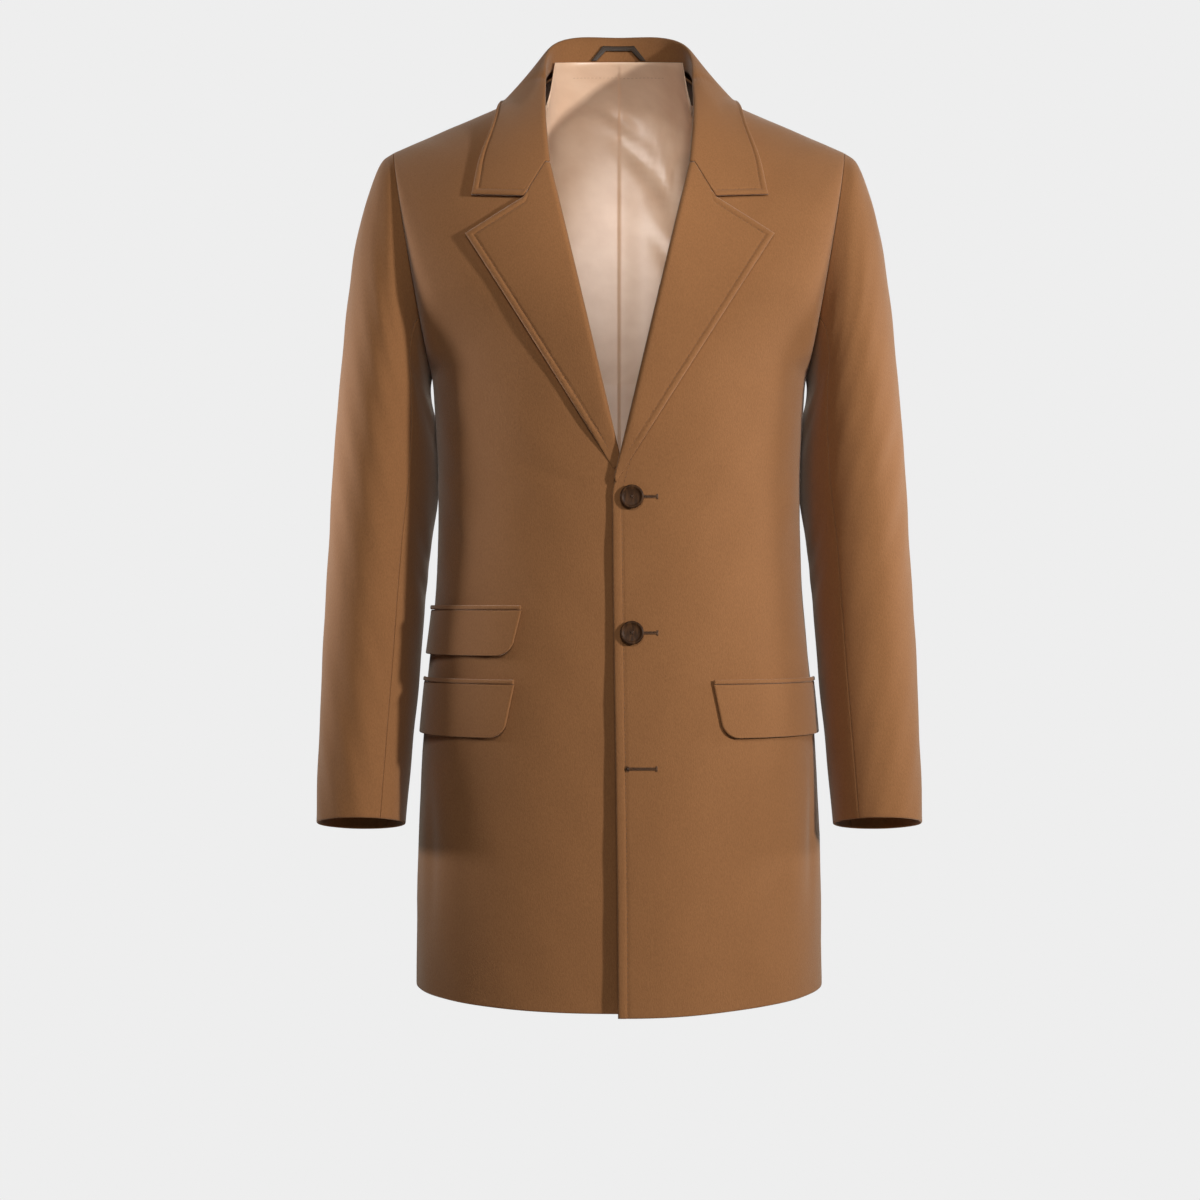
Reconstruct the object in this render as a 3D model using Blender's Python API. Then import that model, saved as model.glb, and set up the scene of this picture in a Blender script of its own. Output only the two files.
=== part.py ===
"""Single-breasted wool overcoat, hollow and filled out as when worn.

Metres. The coat faces -Y, the wearer's left is +X and +Z is up. The origin is the centre of the
neck opening, where the wearer's shoulders carry the coat.
"""

import math
from collections import namedtuple

import bmesh
import bpy
import numpy as np
from mathutils import Matrix, Vector

# Signs: the wearer's left is +X, and the coat faces -Y
LEFT, RIGHT = 1, -1
FRONT, BACK = -1, 1

# Walls and gaps
CLOTH = 0.0022
DOUBLED_CLOTH = 0.0030
FLAP_CLOTH = 0.0026
LINING_CLOTH = 0.0010
SEAM_GAP = 0.0003

# Shoulders, neck and armholes
SEAM_Y = 0.012
NECK_HALF = 0.079
NECK_LEVEL = 0.0115
BACK_NECK_Y = 0.074
BACK_NECK_LEVEL = 0.0505
SHOULDER_HALF = 0.2255
SHOULDER_LEVEL = -0.0515
UNDERARM_HALF = 0.187
UNDERARM_LEVEL = -0.275
ARMHOLE_HALF_DEPTH = 0.066
FRONT_ROUNDNESS = 1.8
BACK_ROUNDNESS = 2.4
ARMHOLE_EDGE_POWER = 16
ARMHOLE_SPREADS_BY = 0.35

# Body below the armholes: how far each ring reaches to the side, the front and the back
BodyRing = namedtuple("BodyRing", "level half_width front_reach back_reach squareness")
BODY_RINGS = (
    BodyRing(-0.882, 0.2025, 0.150, 0.143, 2.40),
    BodyRing(-0.740, 0.2005, 0.149, 0.141, 2.40),
    BodyRing(-0.600, 0.1930, 0.146, 0.137, 2.40),
    BodyRing(-0.490, 0.1830, 0.139, 0.122, 2.40),
    BodyRing(-0.400, 0.1808, 0.136, 0.113, 2.35),
    BodyRing(-0.330, 0.1830, 0.139, 0.1185, 2.30),
    BodyRing(UNDERARM_LEVEL, UNDERARM_HALF, 0.140, 0.1215, 2.30),
)
HEM_LEVEL = BODY_RINGS[0].level
FRONT_HEM_DIP = {LEFT: 0.010, RIGHT: 0.0075}
HEM_DIP_FADE = 0.16
BODY_ROWS = (HEM_LEVEL, -0.76, -0.64, -0.53, -0.44, -0.393, -0.372, -0.35, -0.314, UNDERARM_LEVEL)
LOWER_ROWS = len(BODY_ROWS) - 1
ARMHOLE_ROWS = LOWER_ROWS
FRONT_COLUMNS = 14
BACK_COLUMNS = (0, 1 / 12, 2 / 12, 0.2, 0.225, 0.25, 0.285, *(column / 12 for column in range(4, 13)))
NECK_POINT_SHARE = 0.25

# Front edges, overlap and lapels
FRONT_EDGE = {LEFT: -0.0077, RIGHT: -0.030}
FRONT_EDGE_SWING = {LEFT: 0.0055, RIGHT: 0.0}
OVERLAP_LIFT_TOP = 0.0056
OVERLAP_LIFT_HEM = 0.0115
OVERLAP_FROM, OVERLAP_TO = 0.034, 0.125
OVERLAP_ENDS_AT = -0.20
OVERLAP_TOP = -0.352
BREAK_BELOW = 0.022
GORGE = (0.0668, -0.078)
NECK_ROLL = (0.0735, 0.012)
NOTCH = (0.0920, -0.113)
LAPEL_TIP = (0.1487, -0.148)
ROLL_END = {LEFT: (-0.0063, -0.386), RIGHT: (-0.0022, -0.372)}
LAPEL_END = {LEFT: (-0.0042, -0.3895), RIGHT: (0.0058, -0.3765)}
ROLL_GAP = 0.0022
ROLL_RADIUS = ROLL_GAP + DOUBLED_CLOTH
LAPEL_EDGE_GAP = 0.0020
LAPEL_THINS_FROM = 0.80
LAPEL_END_CLOTH = 0.0010
LAPEL_END_GAP = 0.0004
LAPEL_COLUMNS = 9
LAPEL_ROWS = 11
ROLL_COLUMNS = 3
ROLL_SHARE = ROLL_COLUMNS / LAPEL_COLUMNS
NOTCH_SHARE = 2 / (LAPEL_COLUMNS - ROLL_COLUMNS)
NOTCH_FADE = 0.30
GORGE_GAP = 0.0004
FOLD_CLEAR = 0.0022
NECK_CLEAR = 0.0022
NECK_CLEAR_FROM, NECK_CLEAR_TO = GORGE[1] - 0.03, GORGE[1] + 0.02

# Collar, from the centre of the back (station 0) to the gorge (station 6)
CollarStation = namedtuple(
    "CollarStation", "station neck_x neck_y neck_z fold_x fold_y fold_z edge_x edge_y edge_z"
)
COLLAR_STATIONS = (
    CollarStation(0, 0.0000, 0.0712, 0.0520, 0.0000, 0.0770, 0.0795, 0.0000, 0.1085, 0.0220),
    CollarStation(1, 0.0420, 0.0600, 0.0480, 0.0420, 0.0655, 0.0772, 0.0540, 0.0980, 0.0180),
    CollarStation(2, 0.0660, 0.0375, 0.0365, 0.0655, 0.0430, 0.0655, 0.0970, 0.0640, -0.0010),
    CollarStation(3, 0.0740, 0.0110, 0.0195, 0.0745, 0.0140, 0.0440, 0.1180, 0.0100, -0.0015),
    CollarStation(4, 0.0745, -0.0270, 0.0030, 0.0735, -0.0310, 0.0090, 0.1262, -0.0350, -0.0360),
    CollarStation(5, 0.0730, -0.0620, -0.0330, 0.0712, -0.0660, -0.0340, 0.1365, -0.0700, -0.0700),
    CollarStation(6, 0.0720, -0.0900, -0.0780, GORGE[0], -0.0950, GORGE[1], 0.1435, -0.0850, -0.1090),
)
COLLAR_HALF_COLUMNS = 14
COLLAR_CLEAR = 0.0055
FOLD_REACH = 0.0045
FALL_REACH = 0.0060
STAND_UPRIGHT, FALL_STRAIGHT = 0.6, 0.45
LAID_FROM, LAID_TO = 3.2, 5.0
COLLAR_END_FROM = 0.86
CLEAR_SOFTNESS = 0.002

# Sleeve rings from the armhole to the cuff: outer and inner points of each ring, its depth, and how
# far back its inner side lies against the body
SleeveRing = namedtuple(
    "SleeveRing", "along outer_x outer_z inner_x inner_z centre_y half_depth tilt inner_back"
)
SLEEVE_RINGS = (
    SleeveRing(0, SHOULDER_HALF, SHOULDER_LEVEL, UNDERARM_HALF, UNDERARM_LEVEL, SEAM_Y,
               ARMHOLE_HALF_DEPTH, 0.0, 0.0),
    SleeveRing(1, 0.2385, -0.0620, 0.1880, -0.2800, 0.0115, 0.0700, 0.00, 0.000),
    SleeveRing(2, 0.2490, -0.0900, 0.1890, -0.2890, 0.0105, 0.0735, 0.00, 0.002),
    SleeveRing(3, 0.2605, -0.1300, 0.1880, -0.3030, 0.0090, 0.0750, 0.00, 0.010),
    SleeveRing(4, 0.2690, -0.1850, 0.1835, -0.3250, 0.0075, 0.0748, 0.00, 0.020),
    SleeveRing(5, 0.2765, -0.2550, 0.1812, -0.3580, 0.0065, 0.0728, 0.01, 0.026),
    SleeveRing(6, 0.2830, -0.3300, 0.1828, -0.4000, 0.0055, 0.0700, 0.03, 0.020),
    SleeveRing(7, 0.2880, -0.4100, 0.1890, -0.4500, 0.0040, 0.0672, 0.06, 0.010),
    SleeveRing(8, 0.2920, -0.4900, 0.1940, -0.5100, -0.0005, 0.0642, 0.10, 0.004),
    SleeveRing(9, 0.2950, -0.5700, 0.1990, -0.5800, -0.0105, 0.0605, 0.14, 0.000),
    SleeveRing(10, 0.2970, -0.6450, 0.2048, -0.6500, -0.0230, 0.0570, 0.17, 0.000),
    SleeveRing(11, 0.2980, -0.7200, 0.2105, -0.7200, -0.0370, 0.0540, 0.195, 0.000),
)
SLEEVE_ROWS = 15
SLEEVE_SEAM_ANGLE = math.radians(122)
TOP_SLEEVE_COLUMNS = 13
UNDER_SLEEVE_COLUMNS = 6

# Pocket flaps and their welts: front end, top and bottom levels
Flap = namedtuple("Flap", "name side front_x top_level bottom_level")
FLAPS = (
    Flap("hip_left", LEFT, 0.0870, -0.5800, -0.6310),
    Flap("hip_right", RIGHT, 0.0986, -0.5800, -0.6310),
    Flap("ticket_right", RIGHT, 0.0920, -0.5095, -0.5530),
)
FLAP_END_ANGLE = math.radians(84)
FLAP_SLANT = 0.010
FLAP_CORNER = 0.014
FLAP_OUT_TOP, FLAP_OUT_BOTTOM = 0.0036, 0.0048
FLAP_COLUMNS, FLAP_ROWS = 9, 6
WELT_HEIGHT = 0.0042
WELT_OUT = 0.0047
WELT_CLOTH = 0.0030

# Buttons and hanger loop
BUTTON_X = 0.011
BUTTON_LEVELS = {"button_top": -0.4024, "button_middle": -0.531}
BUTTON_RADIUS = 0.0113
BUTTON_HEIGHT = 0.0042
BUTTON_RIM = 0.0024
BUTTON_RIM_INNER, BUTTON_RIM_OUTER = 0.7, 0.3
BUTTON_EDGE_SHARE, BUTTON_FOOT_SHARE = 0.6, 0.8
BUTTON_DISH = 0.0012
BUTTON_STAND = 0.0008
BUTTON_HOLE_RADIUS = 0.0010
BUTTON_HOLE_SPREAD = 0.0021
BUTTON_HOLES = 4
BUTTON_SIDES, PIN_SIDES = 28, 10
LOOP_HALF_BOTTOM, LOOP_HALF_TOP = 0.027, 0.016
LOOP_LOW, LOOP_HIGH = 0.0530, 0.0690
LOOP_BAND = 0.0052
LOOP_CLOTH = 0.0012
LOOP_STAND = 0.0018
LOOP_COLUMNS = 10
LOOP_LEG_SHARE = 0.3
LOOP_TOP_NARROWS = 0.6

# Lining of the back, seen through the neck
LINING_GAP = 0.0030
LINING_NARROWS_FROM, LINING_SIDE_SHARE = 0.75, 0.96
LINING_HEM_ROW, LINING_TOP_ROW = 0.25, 17.7
LINING_SHOULDER_DROP = 0.55
LINING_DROP_FROM, LINING_DROP_TO = 0.20, 0.27
LINING_RISES_FROM_ROW = 16
LINING_RISE_FROM, LINING_RISE_TO = 0.23, 0.25
LINING_TURNS_FROM_ROW, LINING_TURNS_TO_ROW = 15.8, 17.4
LINING_TURN_FROM, LINING_TURN_TO = 0.24, 0.31
LINING_TOP_LEVEL, LINING_TOP_SLOPE = 0.0523, 0.217
LINING_STAND_GAP = 0.0026
NECK_POINT_STATION = 3
LINING_ROWS = (LINING_HEM_ROW, 2, 4, 6, 8, *range(9, 17), 16.5, 17, 17.35, LINING_TOP_ROW)

# Finishes, with linear colours
Finish = namedtuple("Finish", "name colour roughness")
CAMEL_WOOL = Finish("camel_wool", (0.275, 0.128, 0.052), 0.9)
CREAM_SATIN = Finish("cream_satin_lining", (0.690, 0.490, 0.345), 0.45)
DARK_HORN = Finish("dark_horn", (0.030, 0.016, 0.008), 0.35)
DARK_BRAID = Finish("dark_braid", (0.035, 0.020, 0.010), 0.6)

AXIS_Y = np.array((0.0, 1.0, 0.0))
AXIS_Z = np.array((0.0, 0.0, 1.0))
SLOPE_STEP = 1e-4
SETTLE_ROUNDS = 6
HALVINGS = 30
SHARP_ANGLE = math.radians(40)


def clear_scene():
    for thing in list(bpy.data.objects):
        bpy.data.objects.remove(thing, do_unlink=True)


def new_material(finish):
    material = bpy.data.materials.new(finish.name)
    material.use_nodes = True
    shader = material.node_tree.nodes["Principled BSDF"]
    shader.inputs["Base Color"].default_value = (*finish.colour, 1.0)
    shader.inputs["Roughness"].default_value = finish.roughness
    shader.inputs["Metallic"].default_value = 0.0
    return material


def blend(start, end, share):
    return start + (end - start) * share


def ease(low, high, at):
    """0 at low and 1 at high, with a soft start and end."""
    share = min(max((at - low) / (high - low), 0.0), 1.0)
    return share * share * (3.0 - 2.0 * share)


def smooth_row(rows, at):
    """A table's row for any value of its first column, on a smooth curve through the rows."""
    at = min(max(at, rows[0][0]), rows[-1][0])
    index = 0
    while index < len(rows) - 2 and rows[index + 1][0] < at:
        index += 1
    before = rows[max(index - 1, 0)]
    low, high = rows[index], rows[index + 1]
    after = rows[min(index + 2, len(rows) - 1)]
    width = high[0] - low[0]
    share = (at - low[0]) / width
    values = []
    for column in range(len(low)):
        low_slope = (high[column] - before[column]) / (high[0] - before[0])
        high_slope = (after[column] - low[column]) / (after[0] - low[0])
        rise = high[column] - low[column]
        curve = share * (1.0 - share)
        bend = (low_slope * width - rise) * (1.0 - share) + (rise - high_slope * width) * share
        values.append(low[column] + rise * share + curve * bend)
    return type(low)(*values)


def top_edge(across, facing):
    """Level and Y of a panel's top edge: the shoulder seam, or the back's neck seam."""
    slope = (SHOULDER_LEVEL - NECK_LEVEL) / (SHOULDER_HALF - NECK_HALF)
    if across >= NECK_HALF or facing == FRONT:
        return NECK_LEVEL + slope * (across - NECK_HALF), SEAM_Y
    arch = math.sqrt(1.0 - (across / NECK_HALF) ** 2)
    return blend(NECK_LEVEL, BACK_NECK_LEVEL, arch), blend(SEAM_Y, BACK_NECK_Y, arch)


def armhole_half(climb):
    return blend(UNDERARM_HALF, SHOULDER_HALF, climb)


def upper_y(across, climb, facing, grow):
    """Y of the chest or upper back, at a share of the way up from underarm to shoulder."""
    side_x = armhole_half(climb) + grow
    share = min(across / side_x, 1.0)
    ring = BODY_RINGS[-1]
    reach = ring.front_reach if facing == FRONT else ring.back_reach
    roundness = FRONT_ROUNDNESS if facing == FRONT else BACK_ROUNDNESS
    top_y = top_edge(share * SHOULDER_HALF, facing)[1]
    side_y = SEAM_Y + facing * (ARMHOLE_HALF_DEPTH + grow) * 2.0 * math.sqrt(climb * (1.0 - climb))
    fullness = (1.0 - climb ** roundness) ** (1.0 / roundness)
    centre_y = blend(top_y, facing * (reach + grow), fullness)
    across_ring = (1.0 - share ** ring.squareness) ** (1.0 / ring.squareness)
    spread = ease(0.0, ARMHOLE_SPREADS_BY, climb)
    at_armhole = blend(share ** ARMHOLE_EDGE_POWER, 1.0 - across_ring, spread)
    return blend(SEAM_Y, centre_y, across_ring) + (side_y - SEAM_Y) * at_armhole


def climb_at(across, level, facing, grow):
    climb = 0.5
    for _ in range(SETTLE_ROUNDS):
        top = top_edge(min(across / armhole_half(climb), 1.0) * SHOULDER_HALF, facing)[0]
        climb = min((level - UNDERARM_LEVEL) / (top + grow - UNDERARM_LEVEL), 1.0)
    return climb


def body_y(x, level, facing, grow=0.0):
    """Y of the body's outer surface at X and Z, moved out by grow."""
    across = abs(x)
    if level > UNDERARM_LEVEL:
        return upper_y(across, climb_at(across, level, facing, grow), facing, grow)
    ring = smooth_row(BODY_RINGS, level)
    share = min(across / (ring.half_width + grow), 1.0)
    reach = ring.front_reach if facing == FRONT else ring.back_reach
    fullness = (1.0 - share ** ring.squareness) ** (1.0 / ring.squareness)
    return blend(SEAM_Y, facing * (reach + grow), fullness)


def overlap_lift(side, out_x, level):
    """How far the left front stands off the right one that it covers; out_x grows to its own side."""
    if side == RIGHT:
        return 0.0
    low = ease(OVERLAP_TOP, HEM_LEVEL, level)
    lift = blend(OVERLAP_LIFT_TOP, OVERLAP_LIFT_HEM, low) * ease(OVERLAP_ENDS_AT, OVERLAP_TOP, level)
    return lift * (1.0 - ease(OVERLAP_FROM, OVERLAP_TO, out_x))


def front_y(side, out_x, level, grow=0.0):
    return body_y(out_x, level, FRONT, grow) - overlap_lift(side, out_x, level)


def roll_x(side, level):
    """Where the front turns over into the lapel or collar."""
    end_x, end_level = ROLL_END[side]
    if level > GORGE[1]:
        return blend(GORGE[0], NECK_ROLL[0], ease(GORGE[1], NECK_ROLL[1], level))
    return blend(end_x, GORGE[0], (level - end_level) / (GORGE[1] - end_level))


def lapel_fold(down):
    """A lapel's wall and the gap inside its roll, which both thin out towards its lower end."""
    thin = ease(LAPEL_THINS_FROM, 1.0, down)
    return blend(DOUBLED_CLOTH, LAPEL_END_CLOTH, thin), blend(ROLL_GAP, LAPEL_END_GAP, thin)


def front_edge_x(side, level):
    """The front's inner edge: the open front edge below the break, the roll line above it."""
    low = ease(OVERLAP_TOP, HEM_LEVEL, level)
    open_edge = FRONT_EDGE[side] + FRONT_EDGE_SWING[side] * low
    break_level = ROLL_END[side][1]
    wall, gap = lapel_fold((GORGE[1] - level) / (GORGE[1] - break_level))
    clear = FOLD_CLEAR * gap / ROLL_GAP + NECK_CLEAR * ease(NECK_CLEAR_FROM, NECK_CLEAR_TO, level)
    folded_edge = roll_x(side, level) + wall + gap + clear
    return blend(open_edge, folded_edge, ease(break_level - BREAK_BELOW, break_level, level))


def through(values, share):
    """A value at a share of the way through a list of evenly counted steps."""
    place = share * (len(values) - 1)
    step = min(int(place), len(values) - 2)
    return blend(values[step], values[step + 1], place - step)


def swept_x(inner, outer, across):
    """X on a ring from its inner edge to its side, closer together where the ring turns."""
    start = math.asin(inner / outer)
    return outer * math.sin(blend(start, math.pi / 2, across))


def front_point(side, across, up):
    """A front panel, across from its inner edge to the side, up from hem to shoulder."""
    if up <= 0.5:
        level = through(BODY_ROWS, 2.0 * up)
        outer = smooth_row(BODY_RINGS, level).half_width
        out_x = swept_x(front_edge_x(side, level), outer, across)
        y = body_y(out_x, level, FRONT)
        at_hem = 1.0 - ease(0.0, HEM_DIP_FADE, up)
        z = level - FRONT_HEM_DIP[side] * (1.0 - (out_x / outer) ** 2) * at_hem
    else:
        climb = 0.5 - 0.5 * math.cos(math.pi * (2.0 * up - 1.0))
        outer = armhole_half(climb)
        level = UNDERARM_LEVEL
        for _ in range(SETTLE_ROUNDS):
            inner = front_edge_x(side, level)
            top = top_edge(inner / outer * SHOULDER_HALF, FRONT)[0]
            level = blend(UNDERARM_LEVEL, top, climb)
        out_x = swept_x(inner, outer, across)
        top = top_edge(out_x / outer * SHOULDER_HALF, FRONT)[0]
        z = level = blend(UNDERARM_LEVEL, top, climb)
        y = upper_y(out_x, climb, FRONT, 0.0)
    y -= overlap_lift(side, out_x, level) + SEAM_GAP / 2
    return np.array((side * out_x, y, z))


def back_share(across):
    """Share of the half width, with one column always on the neck point."""
    neck = math.asin(NECK_HALF / SHOULDER_HALF) / (math.pi / 2)
    if abs(across) < NECK_POINT_SHARE:
        turn = neck * abs(across) / NECK_POINT_SHARE
    else:
        turn = blend(neck, 1.0, (abs(across) - NECK_POINT_SHARE) / (1.0 - NECK_POINT_SHARE))
    return math.copysign(math.sin(turn * math.pi / 2), across)


def back_column(share):
    """Where a column of the back lies, from -1 to 1; the columns are closer together at the neck."""
    return math.copysign(through(BACK_COLUMNS, abs(2.0 * share - 1.0)), share - 0.5)


def back_point(across, up):
    """The back panel, across from -1 to 1, up from hem to shoulder and neck."""
    share = back_share(across)
    if up <= 0.5:
        z = through(BODY_ROWS, 2.0 * up)
        x = smooth_row(BODY_RINGS, z).half_width * share
        y = body_y(x, z, BACK)
    else:
        climb = 0.5 - 0.5 * math.cos(math.pi * (2.0 * up - 1.0))
        x = armhole_half(climb) * share
        top = top_edge(abs(share) * SHOULDER_HALF, BACK)[0]
        z = blend(UNDERARM_LEVEL, top, climb)
        y = upper_y(abs(x), climb, BACK, 0.0)
    return np.array((x, y + SEAM_GAP / 2, z))


def sleeve_point(side, around, along):
    """A sleeve's surface; around is 0 on the outside and a quarter turn at the front."""
    ring = smooth_row(SLEEVE_RINGS, along * SLEEVE_RINGS[-1].along)
    out, ahead = math.cos(around), math.sin(around)
    x = (ring.outer_x + ring.inner_x) / 2 + (ring.outer_x - ring.inner_x) / 2 * out
    z = (ring.outer_z + ring.inner_z) / 2 + (ring.outer_z - ring.inner_z) / 2 * out
    y = ring.centre_y - ring.half_depth * ahead + ring.inner_back * ((1.0 - out) / 2) ** 3
    z += ring.tilt * ring.half_depth * ahead
    off_seam = armhole_normal(1) * SEAM_GAP
    return np.array((side * (x + off_seam[0]), y, z + off_seam[2]))


def armhole_normal(side):
    rise, lean = SHOULDER_LEVEL - UNDERARM_LEVEL, SHOULDER_HALF - UNDERARM_HALF
    length = math.hypot(rise, lean)
    return np.array((side * rise / length, 0.0, -lean / length))


def notched(start, notch, tip, share):
    """A path from the roll line through the notch to the tip, as X and Z."""
    if share < NOTCH_SHARE:
        return blend(np.array(start), np.array(notch), share / NOTCH_SHARE)
    return blend(np.array(notch), np.array(tip), (share - NOTCH_SHARE) / (1.0 - NOTCH_SHARE))


def laid_over(side, roll, edge, tip, out, to_end, wall=DOUBLED_CLOTH, gap=ROLL_GAP):
    """A turned-over piece lying on the front: round the roll, then out to its edge.

    to_end is 1 at the gorge, where the piece's end follows the notch, and 0 away from it.
    """
    radius = wall + gap
    if out < ROLL_SHARE:
        turn = math.pi * out / ROLL_SHARE
        out_x = roll[0] + radius * (1.0 - math.sin(turn))
        grow = gap - radius * math.cos(turn)
        level = roll[1]
    else:
        share = (out - ROLL_SHARE) / (1.0 - ROLL_SHARE)
        start = np.array((roll[0] + radius, roll[1]))
        straight = blend(start, np.array(edge), share)
        gorge = np.array((GORGE[0] + ROLL_RADIUS, GORGE[1]))
        end_line = blend(gorge, np.array(tip), share)
        out_x, level = straight + (notched(gorge, NOTCH, tip, share) - end_line) * to_end
        edge_out = wall + LAPEL_EDGE_GAP * gap / ROLL_GAP
        grow = blend(gap + radius, edge_out, ease(0.0, 1.0, share))
    return np.array((side * out_x, front_y(side, out_x, level, grow), level))


def lapel_point(side, out, down):
    roll = blend(np.array(GORGE), np.array(ROLL_END[side]), down)
    edge = blend(np.array(LAPEL_TIP), np.array(LAPEL_END[side]), down)
    to_end = 1.0 - ease(0.0, NOTCH_FADE, down)
    point = laid_over(side, roll, edge, LAPEL_TIP, out, to_end, *lapel_fold(down))
    point[2] -= GORGE_GAP / 2
    return point


def curve_point(start, pull, push, end, share):
    rest = 1.0 - share
    ends = start * rest ** 3 + end * share ** 3
    return ends + 3.0 * rest * share * (pull * rest + push * share)


def rolled(neck, fold, edge, out):
    """A collar section: up the stand, over the fold and down the fall."""
    over = np.array((fold[0], fold[1], 0.0))
    over = over / np.linalg.norm(over)
    if out < ROLL_SHARE:
        rise = fold - neck
        upright = rise - over * rise.dot(over)
        pull = neck + upright * STAND_UPRIGHT
        return curve_point(neck, pull, fold - over * FOLD_REACH, fold, out / ROLL_SHARE)
    fall = edge - fold
    share = (out - ROLL_SHARE) / (1.0 - ROLL_SHARE)
    return curve_point(fold, fold + over * FALL_REACH, edge - fall * FALL_STRAIGHT, edge, share)


def clear_of_body(point, grow):
    """The point, moved out along Y where it would come closer to the body than grow."""
    x, y, z = point
    if z >= top_edge(abs(x), BACK)[0] + grow:
        return point
    facing = FRONT if y < SEAM_Y else BACK
    limit = body_y(x, z, facing, grow)
    gap = facing * (y - limit)
    return np.array((x, limit + facing * (gap + math.hypot(gap, CLEAR_SOFTNESS)) / 2, z))


COLLAR_ROWS = tuple(
    row._replace(station=-row.station, neck_x=-row.neck_x, fold_x=-row.fold_x, edge_x=-row.edge_x)
    for row in reversed(COLLAR_STATIONS[1:])
) + COLLAR_STATIONS


def collar_point(across, out):
    """The collar, across from -1 to 1 round the neck, out from neck seam over the fold to its edge."""
    last = COLLAR_STATIONS[-1].station
    row = smooth_row(COLLAR_ROWS, across * last)
    neck = np.array((row.neck_x, row.neck_y, row.neck_z))
    fold = np.array((row.fold_x, row.fold_y, row.fold_z))
    edge = np.array((row.edge_x, row.edge_y, row.edge_z))
    standing = rolled(neck, fold, edge, out)
    if out > ROLL_SHARE:
        clear = clear_of_body(standing, COLLAR_CLEAR)
        standing = blend(standing, clear, ease(ROLL_SHARE, 1.0, 2.0 * out - ROLL_SHARE))
    laid = ease(LAID_FROM, LAID_TO, abs(across) * last)
    if laid == 0.0:
        return standing
    side = LEFT if across > 0 else RIGHT
    tip = COLLAR_STATIONS[-1]
    to_end = ease(COLLAR_END_FROM, 1.0, abs(across))
    roll, rim = (abs(fold[0]), fold[2]), (abs(edge[0]), edge[2])
    flat = laid_over(side, roll, rim, (tip.edge_x, tip.edge_z), out, to_end)
    flat[2] += GORGE_GAP / 2
    return blend(standing, flat, laid)


def halved(low, high, is_below):
    """The place between low and high where is_below turns from true to false."""
    for _ in range(HALVINGS):
        middle = (low + high) / 2
        if is_below(middle):
            low = middle
        else:
            high = middle
    return low


def lining_top(across):
    """The lining's top edge: straight across when seen from the front, just inside the collar's stand."""
    neck_x = abs(back_share(across)) * SHOULDER_HALF * COLLAR_STATIONS[NECK_POINT_STATION].neck_x / NECK_HALF
    station = halved(0.0, NECK_POINT_STATION, lambda place: smooth_row(COLLAR_ROWS, place).neck_x < neck_x)
    round_neck = math.copysign(station / COLLAR_STATIONS[-1].station, across)

    def is_below(out):
        _, y, level = collar_point(round_neck, out)
        return level < LINING_TOP_LEVEL - LINING_TOP_SLOPE * (COLLAR_STATIONS[0].neck_y - y)
    place = collar_point(round_neck, halved(0.0, ROLL_SHARE, is_below))
    outward = np.array((place[0], place[1], 0.0))
    return place - outward / np.linalg.norm(outward) * LINING_STAND_GAP


def lining_point(across, row):
    """The lining inside the back, across from -1 to 1, at a row of the back counted up from its hem."""
    past = max(abs(across) - LINING_NARROWS_FROM, 0.0) / (1.0 - LINING_NARROWS_FROM)
    across -= math.copysign(past * (1.0 - LINING_SIDE_SHARE), across)
    risen = ease(LINING_RISES_FROM_ROW, LINING_TOP_ROW, row)
    near_shoulder = ease(LINING_DROP_FROM, LINING_DROP_TO, abs(across))
    height = (row - LINING_SHOULDER_DROP * near_shoulder * risen) / (LOWER_ROWS + ARMHOLE_ROWS)
    low, high = back_point(across, height - SLOPE_STEP), back_point(across, height + SLOPE_STEP)
    left, right = back_point(across - SLOPE_STEP, height), back_point(across + SLOPE_STEP, height)
    out = np.cross(high - low, right - left)
    inside = back_point(across, height) - out / np.linalg.norm(out) * (CLOTH + LINING_GAP)
    turned = ease(LINING_TURNS_FROM_ROW, LINING_TURNS_TO_ROW, row)
    turned *= 1.0 - ease(LINING_TURN_FROM, LINING_TURN_TO, abs(across))
    if turned == 0.0:
        return inside
    risen *= 1.0 - ease(LINING_RISE_FROM, LINING_RISE_TO, abs(across))
    return blend(inside, lining_top(across), np.array((turned, turned, risen)))


def ring_angle(out_x, half_width):
    return math.asin(min(out_x / half_width, 1.0))


def on_front(side, level, angle, grow):
    """A point off the front below the armhole, by its angle round the ring."""
    ring = smooth_row(BODY_RINGS, level)
    out_x = (ring.half_width + grow) * math.sin(angle)
    y = front_y(side, out_x, level, grow)
    return np.array((side * out_x, y, level))


def flap_point(flap, across, down):
    level = blend(flap.top_level, flap.bottom_level, down)
    above_bottom = level - flap.bottom_level
    corner = max(FLAP_CORNER - above_bottom, 0.0)
    cut = FLAP_CORNER - math.sqrt(FLAP_CORNER ** 2 - corner ** 2)
    front_x = flap.front_x + FLAP_SLANT * down + cut
    start = ring_angle(front_x, smooth_row(BODY_RINGS, level).half_width)
    angle = blend(start, FLAP_END_ANGLE, across)
    grow = blend(FLAP_OUT_TOP, FLAP_OUT_BOTTOM, down)
    return on_front(flap.side, level, angle, grow)


def welt_point(flap, across, down):
    bottom = flap.top_level + SEAM_GAP
    level = blend(bottom + WELT_HEIGHT, bottom, down)
    start = ring_angle(flap.front_x, smooth_row(BODY_RINGS, level).half_width)
    return on_front(flap.side, level, blend(start, FLAP_END_ANGLE, across), WELT_OUT)


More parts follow.
